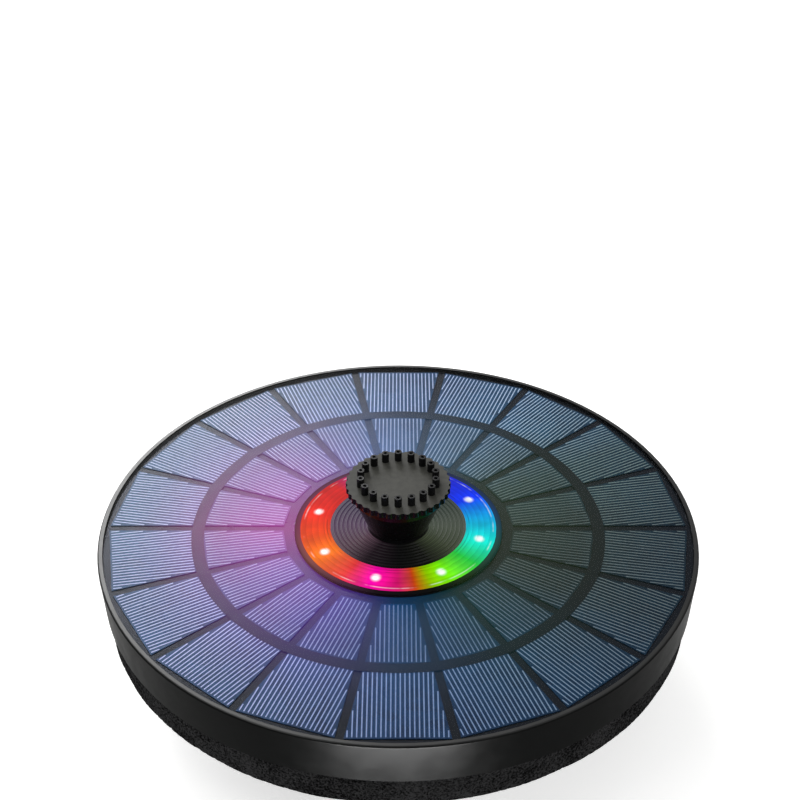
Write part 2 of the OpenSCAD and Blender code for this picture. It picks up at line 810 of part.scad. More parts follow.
// Motor housing, pump chamber, upright outlet and saddle, in one moulding
module pump_body() {
    color("#1c1c1d") difference() {
        union() {
            on_shaft(chamber_front) linear_extrude(pump_back - chamber_front) pump_section();
            translate([pump_x - motor_r, chamber_front, pump_z + motor_r - cut])
                cube([2 * motor_r, pump_back - chamber_front, saddle_t + cut]);
            for (p = ears) {
                translate([p[0], p[1], tub_z - saddle_t]) cylinder(r = ear_r, h = saddle_t);
                translate([min(p[0], pump_x), p[1] - ear_r, tub_z - saddle_t])
                    cube([abs(p[0] - pump_x), 2 * ear_r, saddle_t]);
            }
            translate([0, 0, tub_z - saddle_t]) cylinder(r = spigot_r, h = spigot_z - tub_z + saddle_t);
        }
        shaft_cyl(chamber_r, chamber_front - cut, chamber_back);
        shaft_cyl(can_ir, chamber_back - cut, can_end);
        shaft_cyl(shaft_r() + bush_wall, can_end - cut, can_end + bush_l);
        difference() {
            shaft_cyl(motor_ir, magnet_y, pump_back + cut);
            shaft_cyl(can_or, magnet_y - cut, can_back);
        }
        translate([0, 0, pump_z]) cylinder(r = outlet_d / 2, h = spigot_z - pump_z + cut);
        translate([pump_x, pump_lead_y, pump_z + motor_ir - cut])
            cylinder(r = lead_d / 2 + seat_fit, h = tub_z - pump_z);
        for (p = ears) translate([p[0], p[1], tub_z - saddle_t - cut])
            cylinder(r = pump_screw_r + seat_fit, h = saddle_t + 2 * cut);
        at_cover_screws(chamber_front - cut) cylinder(r = cover_screw_r, h = cover_screw_l + cut, $fn = 32);
    }
}

function shaft_r() = shaft_d / 2;

module at_cover_screws(y) {
    for (s = cover_screw_angles) on_shaft(y)
        translate([s[0] * cover_screw_off, -s[1] * cover_screw_off, 0]) children();
}

// Front plate of the pump with its inlet holes
module volute_cover() {
    inlet_share = 0.19;
    inlet_circle_share = 0.62;
    inlet_count = 6;
    inlet_r = chamber_r * inlet_share;
    color("#242526") difference() {
        on_shaft(volute_front) linear_extrude(volute_t) pump_section();
        shaft_cyl(shaft_r() + bush_wall + seat_fit, chamber_front - bush_l, chamber_front + cut);
        on_shaft(volute_front - cut) for (a = spread(inlet_count, 180 / inlet_count)) rotate([0, 0, a])
            translate([chamber_r * inlet_circle_share, 0, 0])
                cylinder(r = inlet_r, h = volute_t + 2 * cut, $fn = 32);
        at_cover_screws(volute_front - cut)
            cylinder(r = cover_screw_r + seat_fit, h = volute_t + 2 * cut, $fn = 32);
    }
}

module cover_screws() {
    color("#b9bbb8") at_cover_screws(volute_front)
        pan_screw(cover_screw_r - seat_fit, volute_t + cover_screw_l, cover_head_r, cover_head_h, 0);
}

module pump_screws() {
    color("#b9bbb8") for (p = ears) translate([p[0], p[1], 0])
        pan_screw(pump_screw_r - seat_fit, saddle_t + shell_wall + pump_boss_h / 2,
            pump_screw_head, pump_head_h, tub_z - saddle_t);
}

module pump_shaft() {
    color("#ecece6") shaft_cyl(shaft_r(), chamber_front - bush_l, can_end + bush_l);
}

module front_bush() {
    color("#3a3a3a") shaft_ring(shaft_r() + seal_fit, shaft_r() + bush_wall,
        chamber_front - bush_l, chamber_front + bush_l / 8);
}

module rear_bush() {
    color("#3a3a3a") shaft_ring(shaft_r() + seal_fit, shaft_r() + bush_wall - seal_fit,
        can_end, can_end + bush_l);
}

// Back disc, curved vanes and the sleeve that carries the magnet
module impeller() {
    hub_r = shaft_r() + bush_wall;
    disc_back = chamber_back - end_play;
    disc_front = disc_back - pump_wall;
    vane_front = chamber_front + 1.5 * end_play;
    vane_t = pump_wall * 0.8;
    bend_r = impeller_d / 2;
    color("#d8d8d2") difference() {
        union() {
            shaft_cyl(impeller_d / 2, disc_front, disc_back);
            shaft_cyl(hub_r, vane_front, magnet_y);
            shaft_cyl(shaft_r() + bush_wall / 2, magnet_y - end_play, magnet_y + rotor_l);
            on_shaft(vane_front) linear_extrude(disc_front - vane_front + cut) intersection() {
                circle(r = impeller_d / 2);
                for (a = spread(vane_count)) rotate(a) difference() {
                    translate([bend_r / 2, -bend_r / 2]) circle(r = bend_r / 1.4);
                    translate([bend_r / 2, -bend_r / 2]) circle(r = bend_r / 1.4 - vane_t);
                    translate([-bend_r, -2 * bend_r]) square([3 * bend_r, 1.5 * bend_r]);
                    translate([-2 * bend_r, -2 * bend_r]) square([2 * bend_r, 4 * bend_r]);
                }
            }
        }
        shaft_cyl(shaft_r() + shaft_fit, vane_front - cut, magnet_y + rotor_l + cut);
    }
}

module rotor_magnet() {
    color("#55585c") shaft_ring(shaft_r() + bush_wall / 2 + seal_fit, rotor_r, magnet_y, magnet_y + rotor_l);
}

// Laminated ring with teeth that point at the rotor
module stator_core() {
    color("#6d7076") difference() {
        union() {
            shaft_ring(yoke_ir, core_or, core_y1, core_y2);
            on_shaft(core_y1) for (a = spread(teeth)) rotate([0, 0, a])
                translate([core_ir - cut, -tooth_w / 2, 0])
                    cube([tooth_l + 2 * cut, tooth_w, core_y2 - core_y1]);
        }
        shaft_cyl(core_ir, core_y1 - cut, core_y2 + cut);
    }
}

module stator_coils() {
    coil_r1 = core_ir + tooth_l / 4;
    coil_l = sqrt(pow(yoke_ir, 2) - pow(tooth_w / 2 + coil_t, 2)) - coil_r1 - seat_fit;
    color("#b5651d") on_shaft(core_y1 - coil_t) for (a = spread(teeth)) rotate([0, 0, a])
        difference() {
            translate([coil_r1, -tooth_w / 2 - coil_t, 0])
                cube([coil_l, tooth_w + 2 * coil_t, core_y2 - core_y1 + 2 * coil_t]);
            translate([coil_r1 - cut, -tooth_w / 2 - seal_fit, coil_t - seal_fit])
                cube([coil_l + 2 * cut, tooth_w + 2 * seal_fit, core_y2 - core_y1 + 2 * seal_fit]);
        }
}

module driver_board() {
    color("#1d5a38") {
        shaft_ring(shaft_r(), core_or, driver_y, driver_y + driver_t);
    }
}

module pump_potting() {
    color("#101112") shaft_cyl(motor_ir - seal_fit, potting_y, pump_back);
}

// Open foam block in front of the inlet
module intake_sponge() {
    depth = motor_r * 0.8;
    low = basket_floor_z + soft_fit;
    color("#3b3f45") translate([pump_x - motor_r, volute_front - cover_head_h - soft_fit - depth, low])
        cube([2 * motor_r, depth, pump_z + motor_r - low]);
}

// Round basket that covers the pump, twist-locked under the tub
module strainer_basket() {
    round_c = basket_r - basket_round;
    slot_top = tub_z - collar_h - slot_high;
    color("#1d1e1f") difference() {
        rotate_extrude($fn = 128) polygon(concat(
            [[0, foot_h]],
            arc(round_c, foot_h + basket_round, basket_round, 270, 360),
            [[basket_r, basket_top_z], [basket_ir, basket_top_z], [basket_ir, basket_floor_z],
                [0, basket_floor_z]]));
        for (a = spread(wall_slots)) rotate([0, 0, a])
            translate([basket_ir - cut, -slot_w / 2, basket_floor_z + slot_low])
                cube([basket_wall + 2 * cut, slot_w, slot_top - basket_floor_z - slot_low]);
        for (a = spread(floor_slots)) rotate([0, 0, a])
            translate([floor_slot_in, -slot_w / 2, foot_h - cut])
                cube([floor_slot_out - floor_slot_in, slot_w, basket_floor_t + 2 * cut]);
        for (a = spread(pin_count)) rotate([0, 0, a]) bayonet_slot();
    }
}

// Runs along the wall from the locked pin to the upright entry
module bayonet_slot() {
    half = pin_r + pin_fit;
    mid_z = tub_z - pin_depth;
    rotate([0, 0, -twist_angle])
        rotate_extrude(angle = twist_angle + pin_half_angle, $fn = 128)
            span(basket_ir - cut, basket_r + cut, mid_z - half, mid_z + half);
    rotate([0, 0, -twist_angle]) translate([basket_ir - cut, -half, mid_z - half])
        cube([basket_wall + 2 * cut, 2 * half, half + pin_depth + cut]);
}

module strainer_feet() {
    color("#3a3a3a") around(spread(foot_count, 45), foot_circle_r) cylinder(r = foot_r, h = foot_h);
}

module battery_cell() {
    nub = tab_t * 3;
    color("#2f7d4f") translate([-battery_l / 2, battery_y, battery_z]) rotate([0, 90, 0]) {
        cylinder(r = battery_r, h = battery_l - nub);
        cylinder(r = battery_r / 3, h = battery_l);
    }
}

module battery_cradle() {
    top = battery_z - battery_r / 3;
    color("#303132") for (s = [-1, 1]) difference() {
        translate([s * cradle_off - cradle_l / 2, battery_y - battery_r - cradle_wall, tub_floor_z])
            cube([cradle_l, 2 * battery_r + 2 * cradle_wall, top - tub_floor_z]);
        translate([s * cradle_off - cradle_l, battery_y, battery_z])
            rotate([0, 90, 0]) cylinder(r = battery_r + seat_fit, h = 2 * cradle_l);
    }
}

module battery_tabs() {
    color("#c9cbc6") for (s = [-1, 1])
        translate([s * (battery_l / 2 + tab_t / 2), battery_y, battery_z])
            cube([tab_t, tab_w, tab_w], center = true);
}

module control_board() {
    color("#1d5a38") difference() {
        translate([-control_l / 2, control_y - control_w / 2, control_z])
            cube([control_l, control_w, control_t]);
        at_posts() translate([0, 0, control_z - cut])
            cylinder(r = board_screw_r + seat_fit, h = control_t + 2 * cut);
    }
}

module board_chips() {
    color("#151515") for (x = [0, 2 * chip_w])
        translate([x - chip_w / 2, control_y - chip_w / 2, control_top]) cube([chip_w, chip_w, chip_h]);
}

module board_inductor() {
    color("#3c3f42") translate([-control_l / 2 + 2 * inductor_r, control_y, control_top])
        cylinder(r = inductor_r, h = inductor_h);
}

module board_capacitors() {
    color("#26345a") for (k = [-1, 1])
        translate([k * (capacitor_r + seat_fit) - chip_w, control_y - control_w / 2 + capacitor_r + seat_fit,
            control_top]) cylinder(r = capacitor_r, h = capacitor_h);
}

module board_connectors() {
    color("#e6e2d4") for (k = [0:plug_count - 1])
        translate([plug_x(k) - plug_w / 2, plug_y, control_top]) cube([plug_w, plug_l, plug_h]);
}

module board_screws() {
    color("#b9bbb8") at_posts() translate([0, 0, control_top]) rotate([180, 0, 0])
        pan_screw(board_screw_r - seat_fit, control_t + board_screw_l - cut, board_screw_head,
            board_head_h, 0);
}

module tact_switch() {
    color("#2a2a2c") translate([button_x, button_y, 0]) {
        translate([-switch_w / 2, -switch_w / 2, control_z - switch_h]) cube([switch_w, switch_w, switch_h]);
        translate([0, 0, plunger_z]) cylinder(r = plunger_r, h = plunger_h + cut);
    }
}

// Push button with the flange that keeps it in its collar
module power_button() {
    low_round = button_proud / 2;
    color("#8e1f1a") translate([button_x, button_y, 0]) difference() {
        union() {
            rotate_extrude() polygon(concat(
                [[0, button_low_z]],
                arc(button_r - low_round, button_low_z + low_round, low_round, 270, 360, 4),
                [[button_r, tub_floor_z + cut], [0, tub_floor_z + cut]]));
            translate([0, 0, tub_floor_z]) cylinder(r = button_r + button_flange, h = button_flange_t);
            translate([0, 0, tub_floor_z]) cylinder(r = button_stem_r, h = button_top_z - tub_floor_z);
        }
        translate([0, 0, button_seal_z() - groove_wide / 2])
            ring(button_r - groove_deep / 2, button_r + cut, 0, groove_wide);
    }
}

function button_seal_z() = (tub_z + tub_floor_z - button_collar_h) / 2;

module button_seal() {
    color("#2a2a2a") translate([button_x, button_y, 0])
        groove_seal(button_r, groove_deep / 2, run_fit, button_seal_z());
}

module pump_grommet() {
    color("#3a3a3a") translate([pump_x, pump_lead_y, 0])
        ring(lead_d / 2 + seal_fit, grommet_r - seal_fit, tub_z, tub_floor_z);
}

// A round lead swept along its points, in one closed skin
module lead(points, r = lead_d / 2, sides = 8) {
    n = len(points);
    tangents = [for (k = [0:n - 1]) unit(points[min(k + 1, n - 1)] - points[max(k - 1, 0)])];
    normals = carry(tangents);
    rings = [for (k = [0:n - 1]) let (u = normals[k], v = cross(tangents[k], u))
        for (s = [0:sides - 1]) let (a = 360 * s / sides) points[k] + r * (cos(a) * u + sin(a) * v)];
    faces = concat(
        [[for (s = [0:sides - 1]) s]],
        [for (k = [0:n - 2], s = [0:sides - 1]) let (i = k * sides, t = (s + 1) % sides)
            each [[i + s, i + sides + s, i + sides + t], [i + s, i + sides + t, i + t]]],
        [[for (s = [0:sides - 1]) (n - 1) * sides + sides - 1 - s]]);
    polyhedron(points = rings, faces = faces);
}

function unit(v) = v / norm(v);

// Carries one normal along the path, so that the skin doesn't twist
function carry(t, k = 0, last = undef, out = []) = k == len(t) ? out :
    let (seed = k == 0 ? (abs(t[0][2]) < 0.9 ? [0, 0, 1] : [1, 0, 0]) : last,
        u = unit(seed - (seed * t[k]) * t[k]))
    carry(t, k + 1, u, concat(out, [u]));

// A smooth curve through the route's points, whose first and last stretch are straight
function smooth(p, steps = 5) = let (n = len(p)) concat(
    [p[0]],
    [for (k = [1:n - 3], s = [0:steps - 1]) let (
        u = s / steps, a = p[k - 1], b = p[k], c = p[k + 1], d = p[k + 2])
        ((2 * b) + (c - a) * u + (2 * a - 5 * b + 4 * c - d) * u * u
            + (3 * b - a - 3 * c + d) * u * u * u) / 2],
    [p[n - 2], p[n - 1]]);

module panel_lead() {
    color("#b02020") lead(smooth([
        [panel_hole[0], panel_hole[1], deck_z + board_t / 2],
        [panel_hole[0], panel_hole[1], deck_under_z - step],
        [panel_hole[0] + 2 * step, panel_hole[1] + step, plug_lead_z + 2 * step],
        [plug_x(0) - step, plug_face + 4 * step, plug_lead_z],
        [plug_x(0), plug_face + 1.5 * step, plug_lead_z],
        plug_end[0]]));
}

module led_lead() {
    color("#c8c8c4") lead(smooth([
        [led_hole[0], led_hole[1], pocket_z + led_board_t / 2],
        [led_hole[0], led_hole[1], pocket_under_z - step / 2],
        [led_hole[0] - 3 * step, led_hole[1] - step, plug_lead_z + step / 2],
        [plug_x(2) + step, plug_face + 3 * step, plug_lead_z],
        [plug_x(2), plug_face + step, plug_lead_z],
        plug_end[2]]));
}

module pump_lead() {
    color("#1a1a1a") lead(smooth([
        [pump_x, pump_lead_y, pump_z + motor_ir],
        [pump_x, pump_lead_y, tub_floor_z + step / 2],
        [pump_x - 2 * step, pump_lead_y - step, plug_lead_z - 2 * step],
        [-well_or - 3 * step, 2 * step, plug_lead_z],
        [-well_or, -well_or, plug_lead_z],
        [plug_x(1), plug_face + step, plug_lead_z],
        plug_end[1]]));
}

module battery_lead_pos() {
    x = battery_l / 2 + tab_t;
    color("#c02020") lead(smooth([
        [x, battery_y, battery_z],
        [x + step, battery_y, battery_z],
        [x + 2 * step, battery_y - 4 * step, battery_z - 2 * step],
        [x + step, battery_y / 3, low_z],
        [x - 2 * step, -battery_y / 4, low_z],
        [plug_x(3) + 3 * step, plug_face + 4 * step, plug_lead_z - step],
        [plug_x(3) + step, plug_face + step, plug_lead_z],
        plug_end[3] + [step, 0, 0]]));
}

module battery_lead_neg() {
    x = -battery_l / 2 - tab_t;
    back_y = battery_y - battery_r - 3 * step;
    color("#202020") lead(smooth([
        [x, battery_y, battery_z],
        [x - step, battery_y, battery_z],
        [x - step, battery_y - 5 * step, battery_z - 3 * step],
        [x + 6 * step, back_y, low_z],
        [0, back_y, low_z],
        [led_r, battery_y / 3, low_z],
        [led_r - step, -step, low_z],
        [plug_x(3), plug_face + 4 * step, plug_lead_z - step],
        [plug_x(3) - step, plug_face + step, plug_lead_z],
        plug_end[3] - [step, 0, 0]]));
}

housing_shell();
base_shell();
case_gasket();
case_screws();
foam_ring();
panel_board();
cells_inner();
cells_outer();
panel_cover();
hub_disc();
hub_seal();
led_lens();
led_board();
leds();
nozzle_body();
nozzle_cap();
nozzle_seal();
cap_seal();
riser_tube();
outlet_seal();
pump_body();
volute_cover();
cover_screws();
pump_screws();
pump_shaft();
front_bush();
rear_bush();
impeller();
rotor_magnet();
stator_core();
stator_coils();
driver_board();
pump_potting();
intake_sponge();
strainer_basket();
strainer_feet();
battery_cell();
battery_cradle();
battery_tabs();
control_board();
board_chips();
board_inductor();
board_capacitors();
board_connectors();
board_screws();
tact_switch();
power_button();
button_seal();
panel_lead();
led_lead();
pump_lead();
battery_lead_pos();
battery_lead_neg();
pump_grommet();
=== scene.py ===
import math

import bmesh
import bpy
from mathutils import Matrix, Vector, noise


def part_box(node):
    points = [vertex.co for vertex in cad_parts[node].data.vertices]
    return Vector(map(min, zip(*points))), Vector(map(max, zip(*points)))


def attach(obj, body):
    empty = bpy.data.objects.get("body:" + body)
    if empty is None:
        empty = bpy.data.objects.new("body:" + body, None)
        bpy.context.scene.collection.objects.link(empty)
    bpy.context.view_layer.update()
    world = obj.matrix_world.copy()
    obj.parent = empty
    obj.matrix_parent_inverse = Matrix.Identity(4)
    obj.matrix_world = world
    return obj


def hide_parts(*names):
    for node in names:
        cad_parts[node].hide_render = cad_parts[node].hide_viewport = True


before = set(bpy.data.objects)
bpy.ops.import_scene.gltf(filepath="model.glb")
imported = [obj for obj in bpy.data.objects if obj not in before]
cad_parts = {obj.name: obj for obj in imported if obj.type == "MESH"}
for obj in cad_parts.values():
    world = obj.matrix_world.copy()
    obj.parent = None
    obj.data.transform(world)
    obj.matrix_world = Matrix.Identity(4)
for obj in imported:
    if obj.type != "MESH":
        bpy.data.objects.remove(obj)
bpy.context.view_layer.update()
mm = 0.001


def hexColour(text):
    # sRGB hex to the linear values that Blender's sockets take
    parts = [int(text[i:i + 2], 16) / 255 for i in (1, 3, 5)]
    linear = [c / 12.92 if c <= 0.04045 else ((c + 0.055) / 1.055) ** 2.4 for c in parts]
    return (*linear, 1.0)


def addNode(tree, kind, settings=None, **links):
    # settings go to the node's sockets (by name or number) or its own fields, and stops to its colour ramp;
    # links bring outputs to its sockets, i6 to number 6 and Base_Color to the one named Base Color
    node = tree.nodes.new("ShaderNode" + kind)
    for key, value in (settings or {}).items():
        if key == "stops":
            for mark, (place, text) in zip(node.color_ramp.elements, value):
                mark.position, mark.color = place, hexColour(text)
        elif isinstance(key, int) or key in node.inputs:
            node.inputs[key].default_value = value
        else:
            setattr(node, key, value)
    for key, value in links.items():
        socket = int(key[1:]) if key[0] == "i" and key[1:].isdigit() else key.replace("_", " ")
        tree.links.new(value, node.inputs[socket])
    return node


def newMaterial(name):
    material = bpy.data.materials.new(name)
    material.use_nodes = True
    tree = material.node_tree
    tree.nodes.clear()
    coords = addNode(tree, "TexCoord").outputs["Object"]
    inMm = addNode(tree, "VectorMath", {"operation": "SCALE", "Scale": 1 / mm}, i0=coords).outputs[0]
    return material, tree, inMm


# what a hard finish has unless its own look says otherwise; sizes of patterns and the relief's depth in mm
usualLook = {"cloud": 14, "grain": 0.35, "scuff": 5, "relief": 0.03,
             "bump": 0.12, "wear": 0.3, "metal": 0.0, "coat": 0.0, "coatRough": 0.1, "specular": 0.5}


def moulded(name, ownLook):
    # one finish for hard pieces: two shades clouded together, a fine grain, and scuffs that dull the gloss
    look = {**usualLook, **ownLook}
    material, tree, inMm = newMaterial(name)
    clouds = addNode(tree, "TexNoise", {"Scale": 1 / look["cloud"], "Detail": 4.0}, Vector=inMm)
    grain = addNode(tree, "TexNoise", {"Scale": 1 / look["grain"], "Detail": 3.0}, Vector=inMm)
    scuffs = addNode(tree, "TexNoise", {"Scale": 1 / look["scuff"], "Detail": 9.0, "Roughness": 0.68},
                     Vector=inMm)
    shade = addNode(tree, "ValToRGB", {"stops": ((0.3, look["dark"]), (0.7, look["light"]))},
                    Fac=clouds.outputs["Fac"])
    worn = addNode(tree, "MapRange", {"From Min": 0.56, "From Max": 0.74, "To Max": look["wear"]},
                   Value=scuffs.outputs["Fac"])
    colour = addNode(tree, "Mix", {"data_type": "RGBA", 7: hexColour(look.get("worn", look["light"]))},
                     i0=worn.outputs[0], i6=shade.outputs[0])
    smooth, dull = look["rough"]
    rough = addNode(tree, "MapRange", {"From Min": 0.35, "From Max": 0.7, "To Min": smooth, "To Max": dull},
                    Value=scuffs.outputs["Fac"])
    bump = addNode(tree, "Bump", {"Strength": look["bump"], "Distance": look["relief"] * mm},
                   Height=grain.outputs["Fac"])
    shader = addNode(tree, "BsdfPrincipled", {
        "Metallic": look["metal"], "Specular IOR Level": look["specular"],
        "Coat Weight": look["coat"], "Coat Roughness": look["coatRough"]},
        Base_Color=colour.outputs[2], Roughness=rough.outputs[0], Normal=bump.outputs[0])
    # a look's glow is painted light: emission on a piece that is no lamp
    if "glow" in look:
        tint, fade = look["glow"](tree, inMm)
        tree.links.new(tint, shader.inputs["Emission Color"])
        tree.links.new(fade, shader.inputs["Emission Strength"])
    if "rim" in look:
        # the flat rim is polished by handling and shines more than the wall below it
        height = addNode(tree, "SeparateXYZ", Vector=inMm).outputs["Z"]
        shine = addNode(tree, "MapRange", {
            "From Min": look["rim"] - look["rimEdge"], "From Max": look["rim"],
            "To Min": look["specular"], "To Max": look["rimSpecular"]}, Value=height)
        tree.links.new(shine.outputs[0], shader.inputs["Specular IOR Level"])
    addNode(tree, "OutputMaterial", Surface=shader.outputs[0])
    return material


def cornersOf(node):
    # lowest and highest corner of a solid, in mm
    low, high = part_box(node)
    return low / mm, high / mm


def dress(node, material):
    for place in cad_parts[node].material_slots:
        place.material = material


def materialOf(node):
    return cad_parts[node].material_slots[0].material


def polar(tree, inMm):
    # radius in mm, and the angle around the nozzle's axis from -pi to pi
    split = addNode(tree, "SeparateXYZ", Vector=inMm)
    flat = addNode(tree, "CombineXYZ", X=split.outputs["X"], Y=split.outputs["Y"])
    radius = addNode(tree, "VectorMath", {"operation": "LENGTH"}, i0=flat.outputs[0])
    angle = addNode(tree, "Math", {"operation": "ARCTAN2"}, i0=split.outputs["Y"], i1=split.outputs["X"])
    return radius.outputs["Value"], angle.outputs[0]


def wheel(tree, angle, stops):
    # a colour wheel by angle: stops are (degrees from +X, hex), and it closes on itself
    turn = addNode(tree, "MapRange", {"From Min": -math.pi, "From Max": math.pi}, Value=angle)
    ramp = addNode(tree, "ValToRGB", Fac=turn.outputs[0])
    placed = sorted((((degrees + 180) % 360) / 360, hexColour(text)) for degrees, text in stops)
    (firstAt, firstTint), (lastAt, lastTint) = placed[0], placed[-1]
    share = (1 - lastAt) / (1 - lastAt + firstAt)
    seam = tuple(a + (b - a) * share for a, b in zip(lastTint, firstTint))
    marks = ramp.color_ramp.elements
    marks[0].position, marks[0].color = 0.0, seam
    marks[1].position, marks[1].color = 1.0, seam
    for at, tint in placed:
        marks.new(at).color = tint
    return ramp.outputs[0]


def newPiece(name, verts, faces, material, body, smooth=True):
    mesh = bpy.data.meshes.new(name)
    mesh.from_pydata([Vector(v) * mm for v in verts], [], faces)
    work = bmesh.new()
    work.from_mesh(mesh)
    bmesh.ops.recalc_face_normals(work, faces=work.faces)
    work.to_mesh(mesh)
    work.free()
    mesh.materials.append(material)
    piece = bpy.data.objects.new(name, mesh)
    bpy.context.scene.collection.objects.link(piece)
    mesh.polygons.foreach_set("use_smooth", [smooth] * len(mesh.polygons))
    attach(piece, body)
    return piece


def turned(profile, count):
    # a closed profile of (radius, height) points turned around the Z axis
    verts = [(r * math.cos(2 * math.pi * k / count), r * math.sin(2 * math.pi * k / count), z)
             for k in range(count) for r, z in profile]
    n = len(profile)
    faces = []
    for k in range(count):
        here, there = k * n, (k + 1) % count * n
        for i in range(n):
            j = (i + 1) % n
            faces.append([here + i, there + i, there + j, here + j])
    return verts, faces


# the view that the photograph was fitted with; lengths in mm, pitch in degrees below the horizon
view = {"place": (0.54, -368.4, 347.5), "pitch": 34.1, "lens": 69.98, "sensor": 36, "nearest": 10}
camera = bpy.data.objects.new("camera", bpy.data.cameras.new("camera"))
bpy.context.scene.collection.objects.link(camera)
camera.location = Vector(view["place"]) * mm
camera.rotation_euler = (math.radians(90 - view["pitch"]), 0, 0)
camera.data.lens = view["lens"]
camera.data.sensor_width = view["sensor"]
camera.data.clip_start = view["nearest"] * mm
bpy.context.scene.camera = camera
bpy.context.scene.view_settings.view_transform = "Standard"
print("camera is in place")

# the ring of lights, and the colours of the painted glow, tint and shade it gives the pieces around it, by
# degrees from +X; lengths in mm
lightRing = {
    "circle": 25.1, "first": 165, "step": 45,
    "core": (0.3, 2.1), "halo": (0.5, 7.0),  # radii between which a light's white point and bright patch fade
    "lensFoot": 20.6, "lensStep": 1.8,
    # painted shade and painted highlight arcs on the lens: radius, half width, how patchy, how dark or bright
    "paintedShadeArcs": [(21.5, 0.25, 0.44, 0.6), (22.4, 0.2, 0.5, 0.4), (24.2, 0.15, 0.52, 0.3)],
    "paintedHighlightArc": (28.7, 0.3, 0.46, 0.55),
    # reaches and strengths of the painted glow, and the radii over which the painted shade on the inner cells
    # fades out
    "spillReach": (32.0, 86.0), "lipReach": (30.0, 33.0), "palerFrom": (54.0, 64.0), "innerShade": 0.6,
    "glow": {"cells": 0.46, "fingers": 0.55, "board": 0.35, "lip": 0.9},
    "colours": [(135, "#D81C1C"), (168, "#F02410"), (190, "#FA4A10"), (212, "#FF7A14"), (236, "#F83C40"),
                (253, "#F800A8"), (270, "#E01870"), (280, "#D84A10"), (290, "#8CC800"), (302, "#78F008"),
                (322, "#28D848"), (342, "#10E8D0"), (8, "#0CB0F0"), (30, "#0838F8"), (75, "#2818C0"),
                (105, "#7018A0")],
    # painted glow of the ring on the cells, their lines and the board
    "paintedSpill": [(180, "#EC42C6"), (212, "#AC50C4"), (242, "#6A30B4"), (268, "#144E84"), (300, "#14483C"),
              (330, "#2C3C16"), (0, "#34421A"), (40, "#344A2C"), (75, "#4C6C80"), (100, "#6480B8"),
              (145, "#CC64CC")],
    # painted light and shade on the cells and their lines: the ring's colours, darkest on the right
    "tint": [(180, "#FFFFFF"), (222, "#F4ECFC"), (250, "#C4C8DC"), (270, "#98ACC4"), (300, "#94A8AC"),
             (330, "#7E8678"), (0, "#7E8674"), (30, "#98A890"), (55, "#D0E4E0"), (85, "#DCE0EC"),
             (135, "#FCF8F8")],
    # painted glow on the pocket's lip, with none at the front
    "paintedOnLip": [(180, "#7A3050"), (212, "#8A4A48"), (238, "#441838"), (258, "#10040C"), (290, "#050604"),
              (312, "#1A340E"), (345, "#1E5048"), (15, "#183A60"), (60, "#202A50"), (120, "#5C2A48")],
    # painted glow on the hub, standing in for its grooves' reflection: lilac at the left, olive at the right,
    # black at the front
    "paintedOnHub": [(180, "#5E4A62"), (212, "#5A4450"), (240, "#1C1018"), (270, "#040404"), (298, "#0A0C06"),
              (325, "#3C4432"), (355, "#4E564A"), (35, "#3A443E"), (90, "#20222A"), (145, "#4A4256")]}


def glowFrom(tree, inMm, colours, reach, strength):
    # painted light of the ring on the pieces beside it, from full strength at one radius to none at the other
    radius, angle = polar(tree, inMm)
    fade = addNode(tree, "MapRange", {
        "interpolation_type": "SMOOTHSTEP", "From Min": reach[0], "From Max": reach[1],
        "To Min": strength, "To Max": 0.0}, Value=radius)
    return wheel(tree, angle, lightRing[colours]), fade.outputs[0]


def spillOver(tree, inMm, piece):
    # the ring's painted glow as it runs out through the clear resin: strongest beside the ring, gone near the
    # rim
    return glowFrom(tree, inMm, "paintedSpill", lightRing["spillReach"], lightRing["glow"][piece])


def paintedLipGlow(tree, inMm):
    # painted glow: the pocket's lip takes the ring's colours, and the shell outside it stays black
    return glowFrom(tree, inMm, "paintedOnLip", lightRing["lipReach"], lightRing["glow"]["lip"])


def paintedRingTint(tree, inMm, colour):
    # painted light: the cells and their lines lean to the colour of the lights beside them
    radius, angle = polar(tree, inMm)
    lean = addNode(tree, "Mix", {"data_type": "RGBA", "blend_type": "MULTIPLY", 0: 1.0}, i6=colour,
                   i7=wheel(tree, angle, lightRing["tint"]))
    # painted shade: the inner cells are darkened, and the outer cells, which look up at more of the sky, are
    # paler
    near, far = lightRing["palerFrom"]
    outward = addNode(tree, "MapRange", {
        "From Min": near, "From Max": far, "To Min": lightRing["innerShade"]}, Value=radius)
    paler = addNode(tree, "VectorMath", {"operation": "SCALE"}, i0=lean.outputs[2], Scale=outward.outputs[0])
    return paler.outputs[0]


shellTop = cornersOf("housing_shell")[1].z
satinShell = moulded("satinAbsShell", {
    # ABS from a lightly textured mould: satin black that shows one broad soft highlight, with the ring's
    # painted glow on the pocket's lip
    "dark": "#0B0C0C", "light": "#0F1010", "worn": "#161717", "rough": (0.3, 0.38), "grain": 0.3,
    "bump": 0.08, "wear": 0.2, "specular": 0.025, "glow": paintedLipGlow,
    "rim": shellTop, "rimEdge": 0.2, "rimSpecular": 0.5})
tubPlastic = moulded("texturedAbsBase", {
    # ABS from a spark-eroded mould: a dull black with a fine even grain
    "dark": "#151617", "light": "#1E1F20", "worn": "#303132", "rough": (0.5, 0.64), "grain": 0.5,
    "bump": 0.3, "relief": 0.05, "wear": 0.35})
basketPlastic = moulded("polypropyleneBasket", {
    # moulded polypropylene: waxy black, a little greyer in scuffed patches
    "dark": "#171819", "light": "#212223", "worn": "#38393A", "rough": (0.42, 0.56), "grain": 0.8,
    "bump": 0.2, "relief": 0.05, "wear": 0.4})
dress("housing_shell", satinShell)
dress("base_shell", tubPlastic)
dress("strainer_basket", basketPlastic)
print("shells are dressed")

# a cell lies at the back of each ring, so a ring's reach in Y is the radius of its cells' straight outer ends
innerEnd, outerEnd = cornersOf("cells_inner")[1].y, cornersOf("cells_outer")[1].y
cellTop, coverEnd = cornersOf("cells_outer")[1].z, cornersOf("panel_cover")[1]
